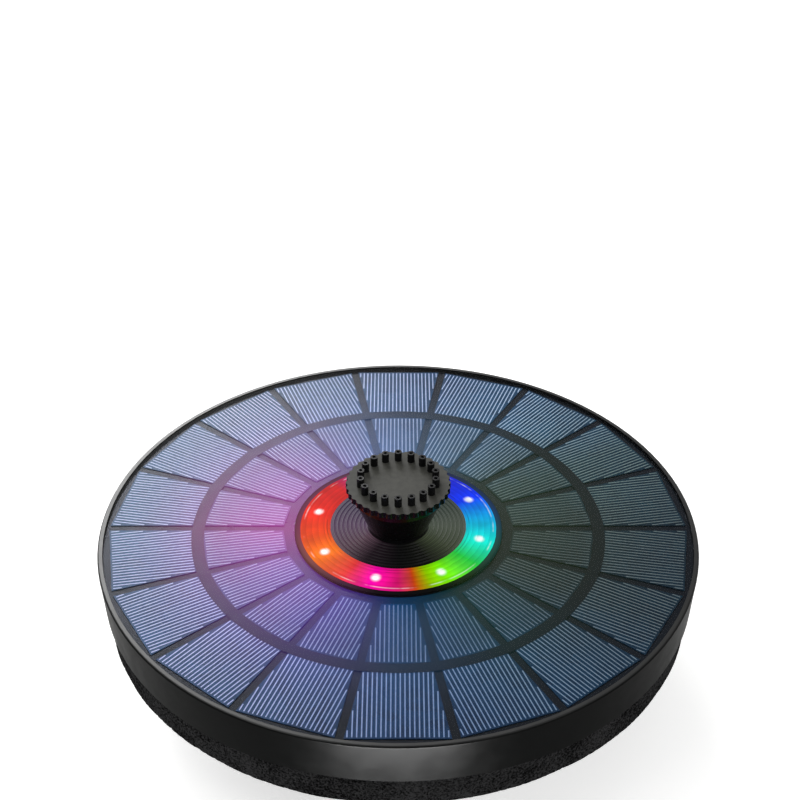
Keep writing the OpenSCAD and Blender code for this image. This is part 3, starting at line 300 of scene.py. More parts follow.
# lengths in mm, first in degrees from +X; count is the cells of a ring, and sides the steps around it
panel = {
    "count": 18, "first": -90, "gap": 2.4, "rings": [(34.4, innerEnd), (innerEnd + 3.0, outerEnd)],
    "fingerPitch": 1.25, "fingerWidth": 0.34, "fingerEnd": 0.5, "shortest": 1.5,
    "pasteLow": cellTop + 0.01, "pasteHigh": cellTop + 0.03, "pasteTaper": 0.06,
    "maskInner": innerEnd + 0.11, "maskOuter": innerEnd + 3.81,
    "maskLow": cellTop + 0.01, "maskHigh": cellTop + 0.045,
    "inner": 31.4, "outer": coverEnd.x, "coverLow": cellTop + 0.06, "coverHigh": coverEnd.z,
    "coverEdge": 0.12, "sides": 256}

# the resin's gloss, carried by the pieces that lie under it
underResin = {"Coat Weight": 1.0, "Coat IOR": 1.22, "Coat Roughness": 0.27}


def siliconCell():
    # polycrystalline silicon: deep navy that shifts a little from crystal to crystal, 3.5 mm each
    material, tree, inMm = newMaterial("siliconCell")
    crystals = addNode(tree, "TexVoronoi", {"Scale": 1 / 3.5}, Vector=inMm)
    clouds = addNode(tree, "TexNoise", {"Scale": 1 / 22, "Detail": 3.0}, Vector=inMm)
    tone = addNode(tree, "SeparateXYZ", Vector=crystals.outputs["Color"])
    mixed = addNode(tree, "Math", {"operation": "MULTIPLY_ADD", 1: 0.35}, i0=tone.outputs[0],
                    i2=clouds.outputs["Fac"])
    shade = addNode(tree, "ValToRGB", {"stops": ((0.35, "#163852"), (0.9, "#24506E"))}, Fac=mixed.outputs[0])
    # painted glow of the ring as emission, and below, its painted tint and shade in the cell's colour
    paintedSpill, fade = spillOver(tree, inMm, "cells")
    fine = addNode(tree, "TexNoise", {"Scale": 1 / 0.5, "Detail": 2.0}, Vector=inMm)
    bump = addNode(tree, "Bump", {"Strength": 0.1, "Distance": 0.01 * mm}, Height=fine.outputs["Fac"])
    rough = addNode(tree, "MapRange", {"To Min": 0.3, "To Max": 0.5}, Value=tone.outputs[1])
    shader = addNode(tree, "BsdfPrincipled", {"Specular IOR Level": 0.02, **underResin},
                     Base_Color=paintedRingTint(tree, inMm, shade.outputs[0]), Roughness=rough.outputs[0],
                     Normal=bump.outputs[0], Emission_Color=paintedSpill, Emission_Strength=fade)
    addNode(tree, "OutputMaterial", Surface=shader.outputs[0])
    return material


def silverFinger():
    # screen-printed silver paste: fine pale lines, matt and slightly uneven
    material, tree, inMm = newMaterial("silverPasteFinger")
    uneven = addNode(tree, "TexNoise", {"Scale": 1 / 0.9, "Detail": 4.0}, Vector=inMm)
    shade = addNode(tree, "ValToRGB", {"stops": ((0.3, "#B4C2DC"), (0.7, "#DCE6F6"))},
                    Fac=uneven.outputs["Fac"])
    # painted glow of the ring as emission, and below, its painted tint and shade in the lines' colour
    paintedSpill, fade = spillOver(tree, inMm, "fingers")
    bump = addNode(tree, "Bump", {"Strength": 0.3, "Distance": 0.02 * mm}, Height=uneven.outputs["Fac"])
    shader = addNode(tree, "BsdfPrincipled", {"Roughness": 0.5, "Specular IOR Level": 0.05, **underResin},
                     Base_Color=paintedRingTint(tree, inMm, shade.outputs[0]), Normal=bump.outputs[0],
                     Emission_Color=paintedSpill, Emission_Strength=fade)
    addNode(tree, "OutputMaterial", Surface=shader.outputs[0])
    return material


def blackBoard():
    # black solder mask on glass laminate: near black with a faint slate cast; the glass weave of about
    # 0.5 mm is too fine to show, and is drawn as 3 mm patches
    material, tree, inMm = newMaterial("blackSolderMask")
    weave = addNode(tree, "TexNoise", {"Scale": 1 / 3, "Detail": 2.0}, Vector=inMm)
    clouds = addNode(tree, "TexNoise", {"Scale": 1 / 18, "Detail": 3.0}, Vector=inMm)
    shade = addNode(tree, "ValToRGB", {"stops": ((0.0, "#0C1013"), (1.0, "#14191C"))},
                    Fac=clouds.outputs["Fac"])
    # painted glow of the ring as emission
    paintedSpill, fade = spillOver(tree, inMm, "board")
    bump = addNode(tree, "Bump", {"Strength": 0.04, "Distance": 0.01 * mm}, Height=weave.outputs["Fac"])
    rough = addNode(tree, "MapRange", {"To Min": 0.5, "To Max": 0.62}, Value=weave.outputs["Fac"])
    shader = addNode(tree, "BsdfPrincipled", {"Specular IOR Level": 0.0, **underResin},
                     Base_Color=shade.outputs[0], Roughness=rough.outputs[0], Normal=bump.outputs[0],
                     Emission_Color=paintedSpill, Emission_Strength=fade)
    addNode(tree, "OutputMaterial", Surface=shader.outputs[0])
    return material


def clearResin():
    # potting resin over the cells: clear, glossy, with a faint orange-peel ripple and hazier patches
    material, tree, inMm = newMaterial("clearPottingResin")
    ripple = addNode(tree, "TexNoise", {"Scale": 1 / 7, "Detail": 2.0}, Vector=inMm)
    hazy = addNode(tree, "TexNoise", {"Scale": 1 / 30, "Detail": 6.0}, Vector=inMm)
    bump = addNode(tree, "Bump", {"Strength": 0.08, "Distance": 0.05 * mm}, Height=ripple.outputs["Fac"])
    rough = addNode(tree, "MapRange", {"To Min": 0.26, "To Max": 0.36}, Value=hazy.outputs["Fac"])
    fresnel = addNode(tree, "Fresnel", {"IOR": 1.07}, Normal=bump.outputs[0])
    # only the outer skin shines, so that nothing is mirrored inside the resin
    inside = addNode(tree, "NewGeometry").outputs["Backfacing"]
    outside = addNode(tree, "Math", {"operation": "SUBTRACT", 0: 1.0}, i1=inside)
    sheen = addNode(tree, "Math", {"operation": "MULTIPLY"}, i0=fresnel.outputs[0], i1=outside.outputs[0])
    gloss = addNode(tree, "BsdfGlossy", {"Color": hexColour("#FFFFFF")}, Roughness=rough.outputs[0],
                    Normal=bump.outputs[0])
    clear = addNode(tree, "BsdfTransparent", {"Color": hexColour("#FAFBFF")})
    both = addNode(tree, "MixShader", None, i0=sheen.outputs[0], i1=clear.outputs[0], i2=gloss.outputs[0])
    addNode(tree, "OutputMaterial", Surface=both.outputs[0])
    return material


def fingerLines():
    # each cell's fingers run along the cell's own middle line and stop at its slanted sides
    verts, faces = [], []
    half = math.pi / panel["count"]
    margin = panel["gap"] / 2 / math.cos(half)
    width, pitch = panel["fingerWidth"], panel["fingerPitch"]
    for r1, r2 in panel["rings"]:
        lines = int(2 * (r2 * math.tan(half) - margin - width) / pitch)
        end = r2 - panel["fingerEnd"]
        places = [(n - lines / 2) * pitch for n in range(lines + 1)]
        starts = [max(r1 + panel["fingerEnd"], (abs(across) + width + margin) / math.tan(half))
                  for across in places]
        for k in range(panel["count"]):
            turn = math.radians(panel["first"]) + 2 * half * k
            c, s = math.cos(turn), math.sin(turn)
            for start, across in zip(starts, places):
                if end - start < panel["shortest"]:
                    continue
                base = len(verts)
                for z, thin in ((panel["pasteLow"], 0), (panel["pasteHigh"], panel["pasteTaper"])):
                    left, right = across - width / 2 + thin, across + width / 2 - thin
                    for x, y in ((start + thin, left), (end - thin, left),
                                 (end - thin, right), (start + thin, right)):
                        verts.append((x * c - y * s, x * s + y * c, z))
                faces.append([base + i for i in (4, 5, 6, 7)])
                for i in range(4):
                    j = (i + 1) % 4
                    faces.append([base + i, base + j, base + 4 + j, base + 4 + i])
    newPiece("cellFingers", verts, faces, silverFinger(), "float", smooth=False)


def cellMask():
    # black mask printed over the cells' straight ends, so that the gap between the rings shows round
    inner, outer, low, high = (panel[side] for side in ("maskInner", "maskOuter", "maskLow", "maskHigh"))
    verts, faces = turned([(inner, low), (outer, low), (outer, high), (inner, high)], panel["sides"])
    newPiece("cellMask", verts, faces, materialOf("panel_board"), "float", smooth=False)


def clearCover():
    # the resin's slab, with its top edges taken off
    inner, outer, low, high = (panel[side] for side in ("inner", "outer", "coverLow", "coverHigh"))
    edge = panel["coverEdge"]
    section = [(inner, low), (outer, low), (outer, high - edge), (outer - edge, high), (inner + edge, high),
               (inner, high - edge)]
    verts, faces = turned(section, panel["sides"])
    cover = newPiece("clearCover", verts, faces, clearResin(), "float", smooth=False)
    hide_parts("panel_cover")


dress("cells_inner", siliconCell())
dress("cells_outer", materialOf("cells_inner"))
dress("panel_board", blackBoard())
fingerLines()
cellMask()
clearCover()
print("panel is built")


def litLens():
    # clear polycarbonate over lit diodes: pure colours that run into each other, white points over the diodes
    material, tree, inMm = newMaterial("litPolycarbonateLens")
    radius, angle = polar(tree, inMm)
    tint = wheel(tree, angle, lightRing["colours"])
    # distance to the nearest light: the angle is folded into one step of the ring
    step = math.radians(lightRing["step"])
    shifted = addNode(tree, "Math", {"operation": "SUBTRACT", 1: math.radians(lightRing["first"]) - step / 2},
                      i0=angle)
    local = addNode(tree, "Math", {"operation": "FLOORED_MODULO", 1: step}, i0=shifted.outputs[0])
    centred = addNode(tree, "Math", {"operation": "SUBTRACT", 1: step / 2}, i0=local.outputs[0])
    sideways = addNode(tree, "Math", {"operation": "MULTIPLY"}, i0=centred.outputs[0], i1=radius)
    outward = addNode(tree, "Math", {"operation": "SUBTRACT", 1: lightRing["circle"]}, i0=radius)
    apart = addNode(tree, "CombineXYZ", X=sideways.outputs[0], Y=outward.outputs[0])
    distance = addNode(tree, "VectorMath", {"operation": "LENGTH"}, i0=apart.outputs[0]).outputs["Value"]
    coreIn, coreOut = lightRing["core"]
    core = addNode(tree, "MapRange", {"interpolation_type": "SMOOTHERSTEP", "From Min": coreIn,
                                      "From Max": coreOut, "To Min": 1.0, "To Max": 0.0}, Value=distance)
    haloIn, haloOut = lightRing["halo"]
    halo = addNode(tree, "MapRange", {"interpolation_type": "SMOOTHSTEP", "From Min": haloIn,
                                      "From Max": haloOut, "To Min": 1.05, "To Max": 0.78}, Value=distance)
    # painted shade: the stepped face darkens in each step's corner
    foot, width = lightRing["lensFoot"], lightRing["lensStep"]
    steps = addNode(tree, "Math", {"operation": "MULTIPLY_ADD", 1: 1 / width, 2: -foot / width}, i0=radius)
    saw = addNode(tree, "Math", {"operation": "FRACT"}, i0=steps.outputs[0])
    arcs = addNode(tree, "MapRange", {"To Min": 0.86, "To Max": 1.1}, Value=saw.outputs[0])
    streaks = addNode(tree, "TexNoise", {"Scale": 1 / 6, "Detail": 3.0}, Vector=inMm)
    uneven = addNode(tree, "MapRange", {"From Min": 0.3, "From Max": 0.7, "To Min": 0.8, "To Max": 1.15},
                     Value=streaks.outputs["Fac"])

    def arcAt(place, halfWidth, patchy):
        # a thin painted arc on one radius that comes and goes along the ring
        off = addNode(tree, "Math", {"operation": "SUBTRACT", 1: place}, i0=radius)
        near = addNode(tree, "Math", {"operation": "ABSOLUTE"}, i0=off.outputs[0])
        line = addNode(tree, "MapRange", {"From Max": halfWidth, "To Min": 1.0, "To Max": 0.0},
                       Value=near.outputs[0])
        along = addNode(tree, "MapRange", {"From Min": patchy, "From Max": patchy + 0.12},
                        Value=streaks.outputs["Fac"])
        both = addNode(tree, "Math", {"operation": "MULTIPLY"}, i0=line.outputs[0], i1=along.outputs[0])
        return both.outputs[0]

    power = addNode(tree, "Math", {"operation": "MULTIPLY"}, i0=halo.outputs[0], i1=arcs.outputs[0])
    level = addNode(tree, "Math", {"operation": "MULTIPLY"}, i0=power.outputs[0], i1=uneven.outputs[0])
    # painted shade: dark arcs dim the lens's light
    for place, halfWidth, patchy, loss in lightRing["paintedShadeArcs"]:
        kept = addNode(tree, "MapRange", {"To Min": 1.0, "To Max": 1 - loss},
                       Value=arcAt(place, halfWidth, patchy))
        level = addNode(tree, "Math", {"operation": "MULTIPLY"}, i0=level.outputs[0], i1=kept.outputs[0])
    # painted highlight: a pale arc near the lens's outer edge, whitened like the points over the diodes
    place, halfWidth, patchy, gain = lightRing["paintedHighlightArc"]
    edge = addNode(tree, "Math", {"operation": "MULTIPLY", 1: gain}, i0=arcAt(place, halfWidth, patchy))
    white = addNode(tree, "Math", {"operation": "MAXIMUM"}, i0=core.outputs[0], i1=edge.outputs[0])
    hot = addNode(tree, "Mix", {"data_type": "RGBA", 7: hexColour("#FFFFFF")}, i0=white.outputs[0], i6=tint)
    deep = addNode(tree, "Mix", {"data_type": "RGBA", 0: 0.93, 7: hexColour("#020202")}, i6=tint)
    shader = addNode(tree, "BsdfPrincipled", {"Roughness": 0.3, "Specular IOR Level": 0.03},
                     Base_Color=deep.outputs[2], Emission_Color=hot.outputs[2],
                     Emission_Strength=level.outputs[0])
    addNode(tree, "OutputMaterial", Surface=shader.outputs[0])
    return material


dress("led_lens", litLens())
dress("led_board", moulded("whiteLightBoard", {
    # white solder mask, to throw the light upwards
    "dark": "#D6D6D0", "light": "#E8E8E2", "worn": "#C9C9C0", "rough": (0.35, 0.5), "grain": 0.4}))
dress("leds", moulded("phosphorLight", {
    # moulded light packages: cream white, because their phosphor window is yellowish
    "dark": "#E9E4C8", "light": "#F6F2DC", "worn": "#E0DABA", "rough": (0.25, 0.4), "grain": 0.3}))
print("light ring is dressed")

hub = {"groove": 0.433}  # mm from one ring groove to the next
cone = {"ribs": 36}  # draw lines around the cone
cap = {"spout": 3.0, "under": 0.1, "over": 0.06}  # mm: a spout's height, and the grey's reach under and over


def glossyGrooves():
    # gloss black ABS turned with ring grooves; a painted glow, lilac at its left and olive at its right,
    # stands in for the grooves' reflection
    material, tree, inMm = newMaterial("glossAbsHub")
    fine = addNode(tree, "TexNoise", {"Scale": 1 / 2.2, "Detail": 5.0}, Vector=inMm)
    radius, angle = polar(tree, inMm)
    grooves = addNode(tree, "Math", {"operation": "MULTIPLY", 1: 2 * math.pi / hub["groove"]}, i0=radius)
    wave = addNode(tree, "Math", {"operation": "SINE"}, i0=grooves.outputs[0])
    bump = addNode(tree, "Bump", {"Strength": 0.2, "Distance": 0.03 * mm}, Height=wave.outputs[0])
    shade = addNode(tree, "ValToRGB", {"stops": ((0.0, "#060607"), (1.0, "#0C0C0E"))},
                    Fac=fine.outputs["Fac"])
    rough = addNode(tree, "MapRange", {"To Min": 0.2, "To Max": 0.32}, Value=fine.outputs["Fac"])
    # painted highlight and shade: the glow is stronger on the ridges of the grooves and weaker in their
    # hollows
    paintedCrestLight = addNode(tree, "MapRange", {"From Min": -1.0, "To Min": 0.55, "To Max": 1.1},
                     Value=wave.outputs[0])
    shader = addNode(tree, "BsdfPrincipled", {"Specular IOR Level": 0.08}, Base_Color=shade.outputs[0],
                     Roughness=rough.outputs[0], Normal=bump.outputs[0], Emission_Strength=paintedCrestLight.outputs[0],
                     Emission_Color=wheel(tree, angle, lightRing["paintedOnHub"]))
    addNode(tree, "OutputMaterial", Surface=shader.outputs[0])
    return material


def ribbedCone():
    # gloss black ABS cone with faint upright draw lines
    material, tree, inMm = newMaterial("glossAbsCone")
    _, angle = polar(tree, inMm)
    ribs = addNode(tree, "Math", {"operation": "MULTIPLY", 1: cone["ribs"]}, i0=angle)
    wave = addNode(tree, "Math", {"operation": "SINE"}, i0=ribs.outputs[0])
    fine = addNode(tree, "TexNoise", {"Scale": 1 / 3.0, "Detail": 6.0}, Vector=inMm)
    both = addNode(tree, "Math", {"operation": "MULTIPLY_ADD", 1: 0.25}, i0=wave.outputs[0],
                   i2=fine.outputs["Fac"])
    bump = addNode(tree, "Bump", {"Strength": 0.4, "Distance": 0.12 * mm}, Height=both.outputs[0])
    shade = addNode(tree, "ValToRGB", {"stops": ((0.0, "#0A0A0B"), (1.0, "#151516"))},
                    Fac=fine.outputs["Fac"])
    rough = addNode(tree, "MapRange", {"To Min": 0.16, "To Max": 0.3}, Value=fine.outputs["Fac"])
    shader = addNode(tree, "BsdfPrincipled", {"Specular IOR Level": 0.2}, Base_Color=shade.outputs[0],
                     Roughness=rough.outputs[0], Normal=bump.outputs[0])
    addNode(tree, "OutputMaterial", Surface=shader.outputs[0])
    return material


def sprayCap():
    # two-shot cap: a flat grey top disc, with black edge and black spouts
    material, tree, inMm = newMaterial("greyCapBlackSpouts")
    height = addNode(tree, "SeparateXYZ", Vector=inMm).outputs["Z"]
    face = cornersOf("nozzle_cap")[1].z - cap["spout"]
    aboveEdge = addNode(tree, "Math", {"operation": "GREATER_THAN", 1: face - cap["under"]}, i0=height)
    belowSpouts = addNode(tree, "Math", {"operation": "LESS_THAN", 1: face + cap["over"]}, i0=height)
    onTop = addNode(tree, "Math", {"operation": "MULTIPLY"}, i0=aboveEdge.outputs[0],
                    i1=belowSpouts.outputs[0])
    fine = addNode(tree, "TexNoise", {"Scale": 1 / 1.6, "Detail": 5.0}, Vector=inMm)
    grey = addNode(tree, "ValToRGB", {"stops": ((0.3, "#3A3A36"), (0.7, "#44443F"))}, Fac=fine.outputs["Fac"])
    black = addNode(tree, "ValToRGB", {"stops": ((0.0, "#0A0A0B"), (1.0, "#171718"))},
                    Fac=fine.outputs["Fac"])
    colour = addNode(tree, "Mix", {"data_type": "RGBA"}, i0=onTop.outputs[0], i6=black.outputs[0],
                     i7=grey.outputs[0])
    rough = addNode(tree, "MapRange", {"To Min": 0.26, "To Max": 0.48}, Value=onTop.outputs[0])
    grain = addNode(tree, "TexNoise", {"Scale": 1 / 0.25, "Detail": 2.0}, Vector=inMm)
    bump = addNode(tree, "Bump", {"Strength": 0.12, "Distance": 0.03 * mm}, Height=grain.outputs["Fac"])
    shader = addNode(tree, "BsdfPrincipled", {"Specular IOR Level": 0.15}, Base_Color=colour.outputs[2],
                     Roughness=rough.outputs[0], Normal=bump.outputs[0])
    addNode(tree, "OutputMaterial", Surface=shader.outputs[0])
    return material


dress("hub_disc", glossyGrooves())
dress("nozzle_body", ribbedCone())
dress("nozzle_cap", sprayCap())
print("hub and nozzle are dressed")

# the ring's section, then its torn skin and its sag; lengths in mm, around is the steps around the ring,
# and the finer of the two sizes of tears is finer times smaller and fineShare as deep
foamLow, foamHigh = cornersOf("foam_ring")
foam = {"inner": 62.3, "outer": foamHigh.x, "low": foamLow.z, "high": foamHigh.z, "round": 1.4,
        "around": 900, "piece": 0.8, "middle": 75,
        "cell": 1.1, "tear": 0.16, "finer": 2.3, "fineShare": 0.5, "inset": 0.1, "calmTop": 1,
        "sagWave": 14, "sag": 0.25, "skinCell": 0.75, "skinPit": 0.6}


def foamSkin():
    # closed-cell polyethylene foam, sawn and skinned: charcoal, with lighter specks painted as highlights on
    # the torn cells
    material, tree, inMm = newMaterial("closedCellFoam")
    cells = addNode(tree, "TexVoronoi", {"Scale": 1 / foam["skinCell"], "Randomness": 1.0}, Vector=inMm)
    pits = addNode(tree, "TexNoise", {"Scale": 1 / foam["skinPit"], "Detail": 6.0, "Roughness": 0.7},
                   Vector=inMm)
    clouds = addNode(tree, "TexNoise", {"Scale": 1 / 9, "Detail": 3.0}, Vector=inMm)
    mixed = addNode(tree, "Math", {"operation": "MULTIPLY_ADD", 1: 0.25}, i0=clouds.outputs["Fac"],
                    i2=pits.outputs["Fac"])
    shade = addNode(tree, "ValToRGB", {"stops": ((0.54, "#090909"), (0.72, "#3C3C3D"))}, Fac=mixed.outputs[0])
    deep = addNode(tree, "Math", {"operation": "MULTIPLY_ADD", 1: 0.7}, i0=cells.outputs["Distance"],
                   i2=pits.outputs["Fac"])
    bump = addNode(tree, "Bump", {"Strength": 0.9, "Distance": 0.35 * mm}, Height=deep.outputs[0])
    rough = addNode(tree, "MapRange", {"To Min": 0.75, "To Max": 0.95}, Value=pits.outputs["Fac"])
    shader = addNode(tree, "BsdfPrincipled", {"Specular IOR Level": 0.0}, Base_Color=shade.outputs[0],
                     Roughness=rough.outputs[0], Normal=bump.outputs[0])
    addNode(tree, "OutputMaterial", Surface=shader.outputs[0])
    return material


def roundedSection():
    # the ring's section with its four edges rounded, from the foot of its inner wall and on under the ring
    r = foam["round"]
    bends = [(foam["inner"], foam["low"], 180), (foam["outer"], foam["low"], 270),
             (foam["outer"], foam["high"], 0), (foam["inner"], foam["high"], 90)]
    points = []
    for x, z, start in bends:
        cx = x + r if x == foam["inner"] else x - r
        cz = z + r if z == foam["low"] else z - r
        for n in range(4):
            a = math.radians(start + 30 * n)
            points.append((cx + r * math.cos(a), cz + r * math.sin(a)))
    filled = []
    for (xa, za), (xb, zb) in zip(points, points[1:] + points[:1]):
        parts = max(1, round(math.hypot(xb - xa, zb - za) / foam["piece"]))
        filled += [(xa + (xb - xa) * i / parts, za + (zb - za) * i / parts) for i in range(parts)]
    return filled


def foamRing():
    # the skin is torn inwards only, and its outer and inner walls are set in a little
    verts, faces = turned(roundedSection(), foam["around"])
    rough = []
    for x, y, z in verts:
        point = Vector((x, y, z))
        coarse, fine = noise.noise(point / foam["cell"]), noise.noise(point / foam["cell"] * foam["finer"])
        torn = foam["tear"] * (coarse + foam["fineShare"] * fine)
        sag = foam["sag"] * noise.noise(point / foam["sagWave"])
        radius = math.hypot(x, y)
        if radius > foam["middle"]:
            grow = (radius + min(0.0, torn) + sag - foam["inset"]) / radius
        else:
            grow = (radius - min(0.0, torn) + foam["inset"]) / radius
        lift = 0.0 if z > foam["high"] - foam["calmTop"] else max(0.0, -torn)
        rough.append((x * grow, y * grow, min(z + lift, foam["high"])))
    ring = newPiece("foamRing", rough, faces, foamSkin(), "float")
    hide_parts("foam_ring")


foamRing()
print("foam ring is built")

low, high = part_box("intake_sponge")
# lengths in mm; waist is the share that the block is drawn in by between its ends
sponge = {"centre": (low + high) / 2 / mm, "half": (high - low) / 2 / mm, "cell": 1.4, "steps": 14,
          "waist": 0.03, "pit": 0.25, "ease": 0.35}


def spongeSkin():
    # reticulated polyether foam: grey strands, with painted shade in the open pores between them
    material, tree, inMm = newMaterial("openCellSponge")
    cells = addNode(tree, "TexVoronoi", {"Scale": 1 / sponge["cell"], "feature": "DISTANCE_TO_EDGE"},
                    Vector=inMm)
    shade = addNode(tree, "ValToRGB", {"stops": ((0.0, "#4A4F56"), (0.35, "#1C1E21"))},
                    Fac=cells.outputs["Distance"])
    bump = addNode(tree, "Bump", {"Strength": 0.9, "Distance": 0.5 * mm, "invert": True},
                   Height=cells.outputs["Distance"])
    fine = addNode(tree, "TexNoise", {"Scale": 1 / 0.6, "Detail": 4.0}, Vector=inMm)
    rough = addNode(tree, "MapRange", {"To Min": 0.8, "To Max": 1.0}, Value=fine.outputs["Fac"])
    shader = addNode(tree, "BsdfPrincipled", None, Base_Color=shade.outputs[0], Roughness=rough.outputs[0],
                     Normal=bump.outputs[0])
    addNode(tree, "OutputMaterial", Surface=shader.outputs[0])
    return material


def spongeBlock():
    # a block's skin of square faces, drawn in at the waist and pitted, with its edges and corners eased
    n = sponge["steps"]
    centre, size = sponge["centre"], sponge["half"]
    spots, verts, faces = {}, [], []

    def spot(i, j, k):
        if (i, j, k) not in spots:
            u, v, w = (2 * t / n - 1 for t in (i, j, k))
            pull = sponge["waist"] * (1 - u * u) * (1 - v * v) + sponge["waist"] * (1 - v * v) * (1 - w * w)
            point = Vector((centre.x + size.x * u * (1 - pull), centre.y + size.y * v,
                            centre.z + size.z * w * (1 - pull)))
            pit = sponge["pit"] * abs(noise.noise(point / sponge["cell"]))
            inward = (centre - point).normalized()
            sides = sum(1 for t in (i, j, k) if t in (0, n))
            spots[(i, j, k)] = len(verts)
            verts.append(point + inward * (pit + sponge["ease"] * max(0, sides - 1)))
        return spots[(i, j, k)]

    for a in range(n):
        for b in range(n):
            for side in (0, n):
                quads = [[(side, a, b), (side, a + 1, b), (side, a + 1, b + 1), (side, a, b + 1)],
                         [(a, side, b), (a, side, b + 1), (a + 1, side, b + 1), (a + 1, side, b)],
                         [(a, b, side), (a + 1, b, side), (a + 1, b + 1, side), (a, b + 1, side)]]
                for quad in quads:
                    face = [spot(*q) for q in quad]
                    faces.append(face if side else face[::-1])
    block = newPiece("spongeBlock", verts, faces, spongeSkin(), "float")
    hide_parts("intake_sponge")


spongeBlock()
print("sponge is built")

finishes = {
    # silicone cord rings: soft brick red, dull
    "redSilicone": {
        "on": ("case_gasket", "nozzle_seal", "cap_seal", "outlet_seal"),
        "dark": "#6E2A1E", "light": "#853526", "rough": (0.5, 0.65), "grain": 0.6},
    # zinc-plated steel: pale, lightly scuffed by the driver
    "zincPlatedSteel": {
        "on": ("case_screws", "cover_screws", "pump_screws", "board_screws"),
        "dark": "#A7AAA7", "light": "#C6C8C4", "worn": "#8E918D", "rough": (0.25, 0.42), "metal": 1.0,
        "grain": 0.2},
    # nitrile rubber: matt black with a dusty bloom
    "nitrileRubber": {
        "on": ("hub_seal", "button_seal", "pump_grommet", "strainer_feet"),
        "dark": "#1B1B1B", "light": "#2A2A2A", "worn": "#3E3E3E", "rough": (0.7, 0.88), "grain": 0.5,
        "bump": 0.3},
    # nylon tube and cradle: dark, slightly waxy
    "nylonMoulding": {
        "on": ("riser_tube", "battery_cradle"),
        "dark": "#252627", "light": "#313233", "rough": (0.42, 0.55), "grain": 0.6},
    # glass-filled pump mouldings: greyish black with flow marks
    "glassFilledPump": {
        "on": ("pump_body", "volute_cover"),
        "dark": "#191A1B", "light": "#262728", "worn": "#3A3B3C", "rough": (0.38, 0.55), "cloud": 5},
    # fired alumina: cool white, smooth
    "aluminaShaft": {
        "on": ("pump_shaft",),
        "dark": "#E4E4DE", "light": "#F2F2EE", "rough": (0.18, 0.3), "grain": 0.2},
    # carbon-filled bush: dull dark grey
    "carbonBush": {
        "on": ("front_bush", "rear_bush"),
        "dark": "#2C2C2D", "light": "#404041", "rough": (0.45, 0.6), "grain": 0.3},
    # acetal impeller: milky white with a soft gloss
    "acetalImpeller": {
        "on": ("impeller",),
        "dark": "#CFCFC8", "light": "#DEDED8", "rough": (0.3, 0.42), "grain": 0.4},
    # bonded ferrite: dark steel grey, fine and dry
    "bondedFerrite": {
        "on": ("rotor_magnet", "board_inductor"),
        "dark": "#35383B", "light": "#4C5054", "rough": (0.45, 0.62), "grain": 0.25, "bump": 0.25},
    # stacked silicon steel: satin grey with a fine grain
    "laminatedSteel": {
        "on": ("stator_core",),
        "dark": "#5C5F64", "light": "#7A7D82", "rough": (0.32, 0.48), "metal": 1.0, "grain": 0.5,
        "bump": 0.3},
    # enamelled copper wire: warm orange brown gloss
    "enamelledCopper": {
        "on": ("stator_coils",),
        "dark": "#8E4A16", "light": "#B5651D", "rough": (0.25, 0.4), "metal": 1.0, "grain": 0.3, "bump": 0.5},
    # green solder mask: glossy green with a fine grain
    "greenSolderMask": {
        "on": ("driver_board", "control_board"),
        "dark": "#164A2E", "light": "#1F6B42", "rough": (0.28, 0.4), "grain": 0.4},
    # epoxy potting: black glass-like gloss
    "epoxyPotting": {
        "on": ("pump_potting",),
        "dark": "#0E0F10", "light": "#17181A", "rough": (0.15, 0.28), "coat": 0.4},
    # shrink sleeve of the cell: glossy green film
    "shrinkSleeve": {
        "on": ("battery_cell",),
        "dark": "#2A7347", "light": "#348A57", "rough": (0.25, 0.36), "coat": 0.3},
    # nickel strip: bright, a little yellow
    "nickelStrip": {
        "on": ("battery_tabs",),
        "dark": "#B9B8AE", "light": "#D2D1C6", "rough": (0.22, 0.36), "metal": 1.0, "grain": 0.2},
    # moulded epoxy of the chips: dark grey, dry
    "chipEpoxy": {
        "on": ("board_chips", "tact_switch"),
        "dark": "#161617", "light": "#222223", "rough": (0.5, 0.65), "grain": 0.25},
    # printed aluminium can sleeve: dark blue film
    "capacitorSleeve": {
        "on": ("board_capacitors",),
        "dark": "#1F2C4C", "light": "#2B3C66", "rough": (0.28, 0.4), "coat": 0.3},
    # natural nylon connectors: ivory
    "ivoryNylon": {
        "on": ("board_connectors",),
        "dark": "#DAD5C4", "light": "#ECE8DB", "rough": (0.35, 0.5), "grain": 0.5},
    # silicone-gloved button: deep red, slightly tacky
    "redButton": {
        "on": ("power_button",),
        "dark": "#7C1A16", "light": "#962620", "worn": "#A84840", "rough": (0.38, 0.52), "grain": 0.5,
        "bump": 0.2},
    # soft PVC insulation of the leads: even colour with a low waxy gloss
    "redInsulation": {
        "on": ("panel_lead", "battery_lead_pos"),
        "dark": "#9C1C1C", "light": "#B82424", "rough": (0.38, 0.5), "grain": 0.8},
    "blackInsulation": {
        "on": ("pump_lead", "battery_lead_neg"),
        "dark": "#151515", "light": "#202020", "rough": (0.38, 0.5), "grain": 0.8},
    "whiteInsulation": {
        "on": ("led_lead",),
        "dark": "#C4C4BE", "light": "#DADAD4", "rough": (0.38, 0.5), "grain": 0.8},
}
for name, look in finishes.items():
    finish = moulded(name, look)
    for node in look["on"]:
        dress(node, finish)
print("small pieces are dressed")

# the floor's radius and depth in mm and its glow to the camera; the world's strength as light and as seen
studio = {"floor": 4000, "sides": 96, "depth": 0.1, "floorGlow": 0.56, "light": 0.5, "seen": 1.0}


def seenDirectly(tree):
    # 1 for what the camera sees, straight or through a clear piece, and 0 for light and reflections
    paths = addNode(tree, "LightPath").outputs
    either = addNode(tree, "Math", {"operation": "MAXIMUM"}, i0=paths["Is Camera Ray"],
                     i1=paths["Is Transmission Ray"])
    return either.outputs[0]


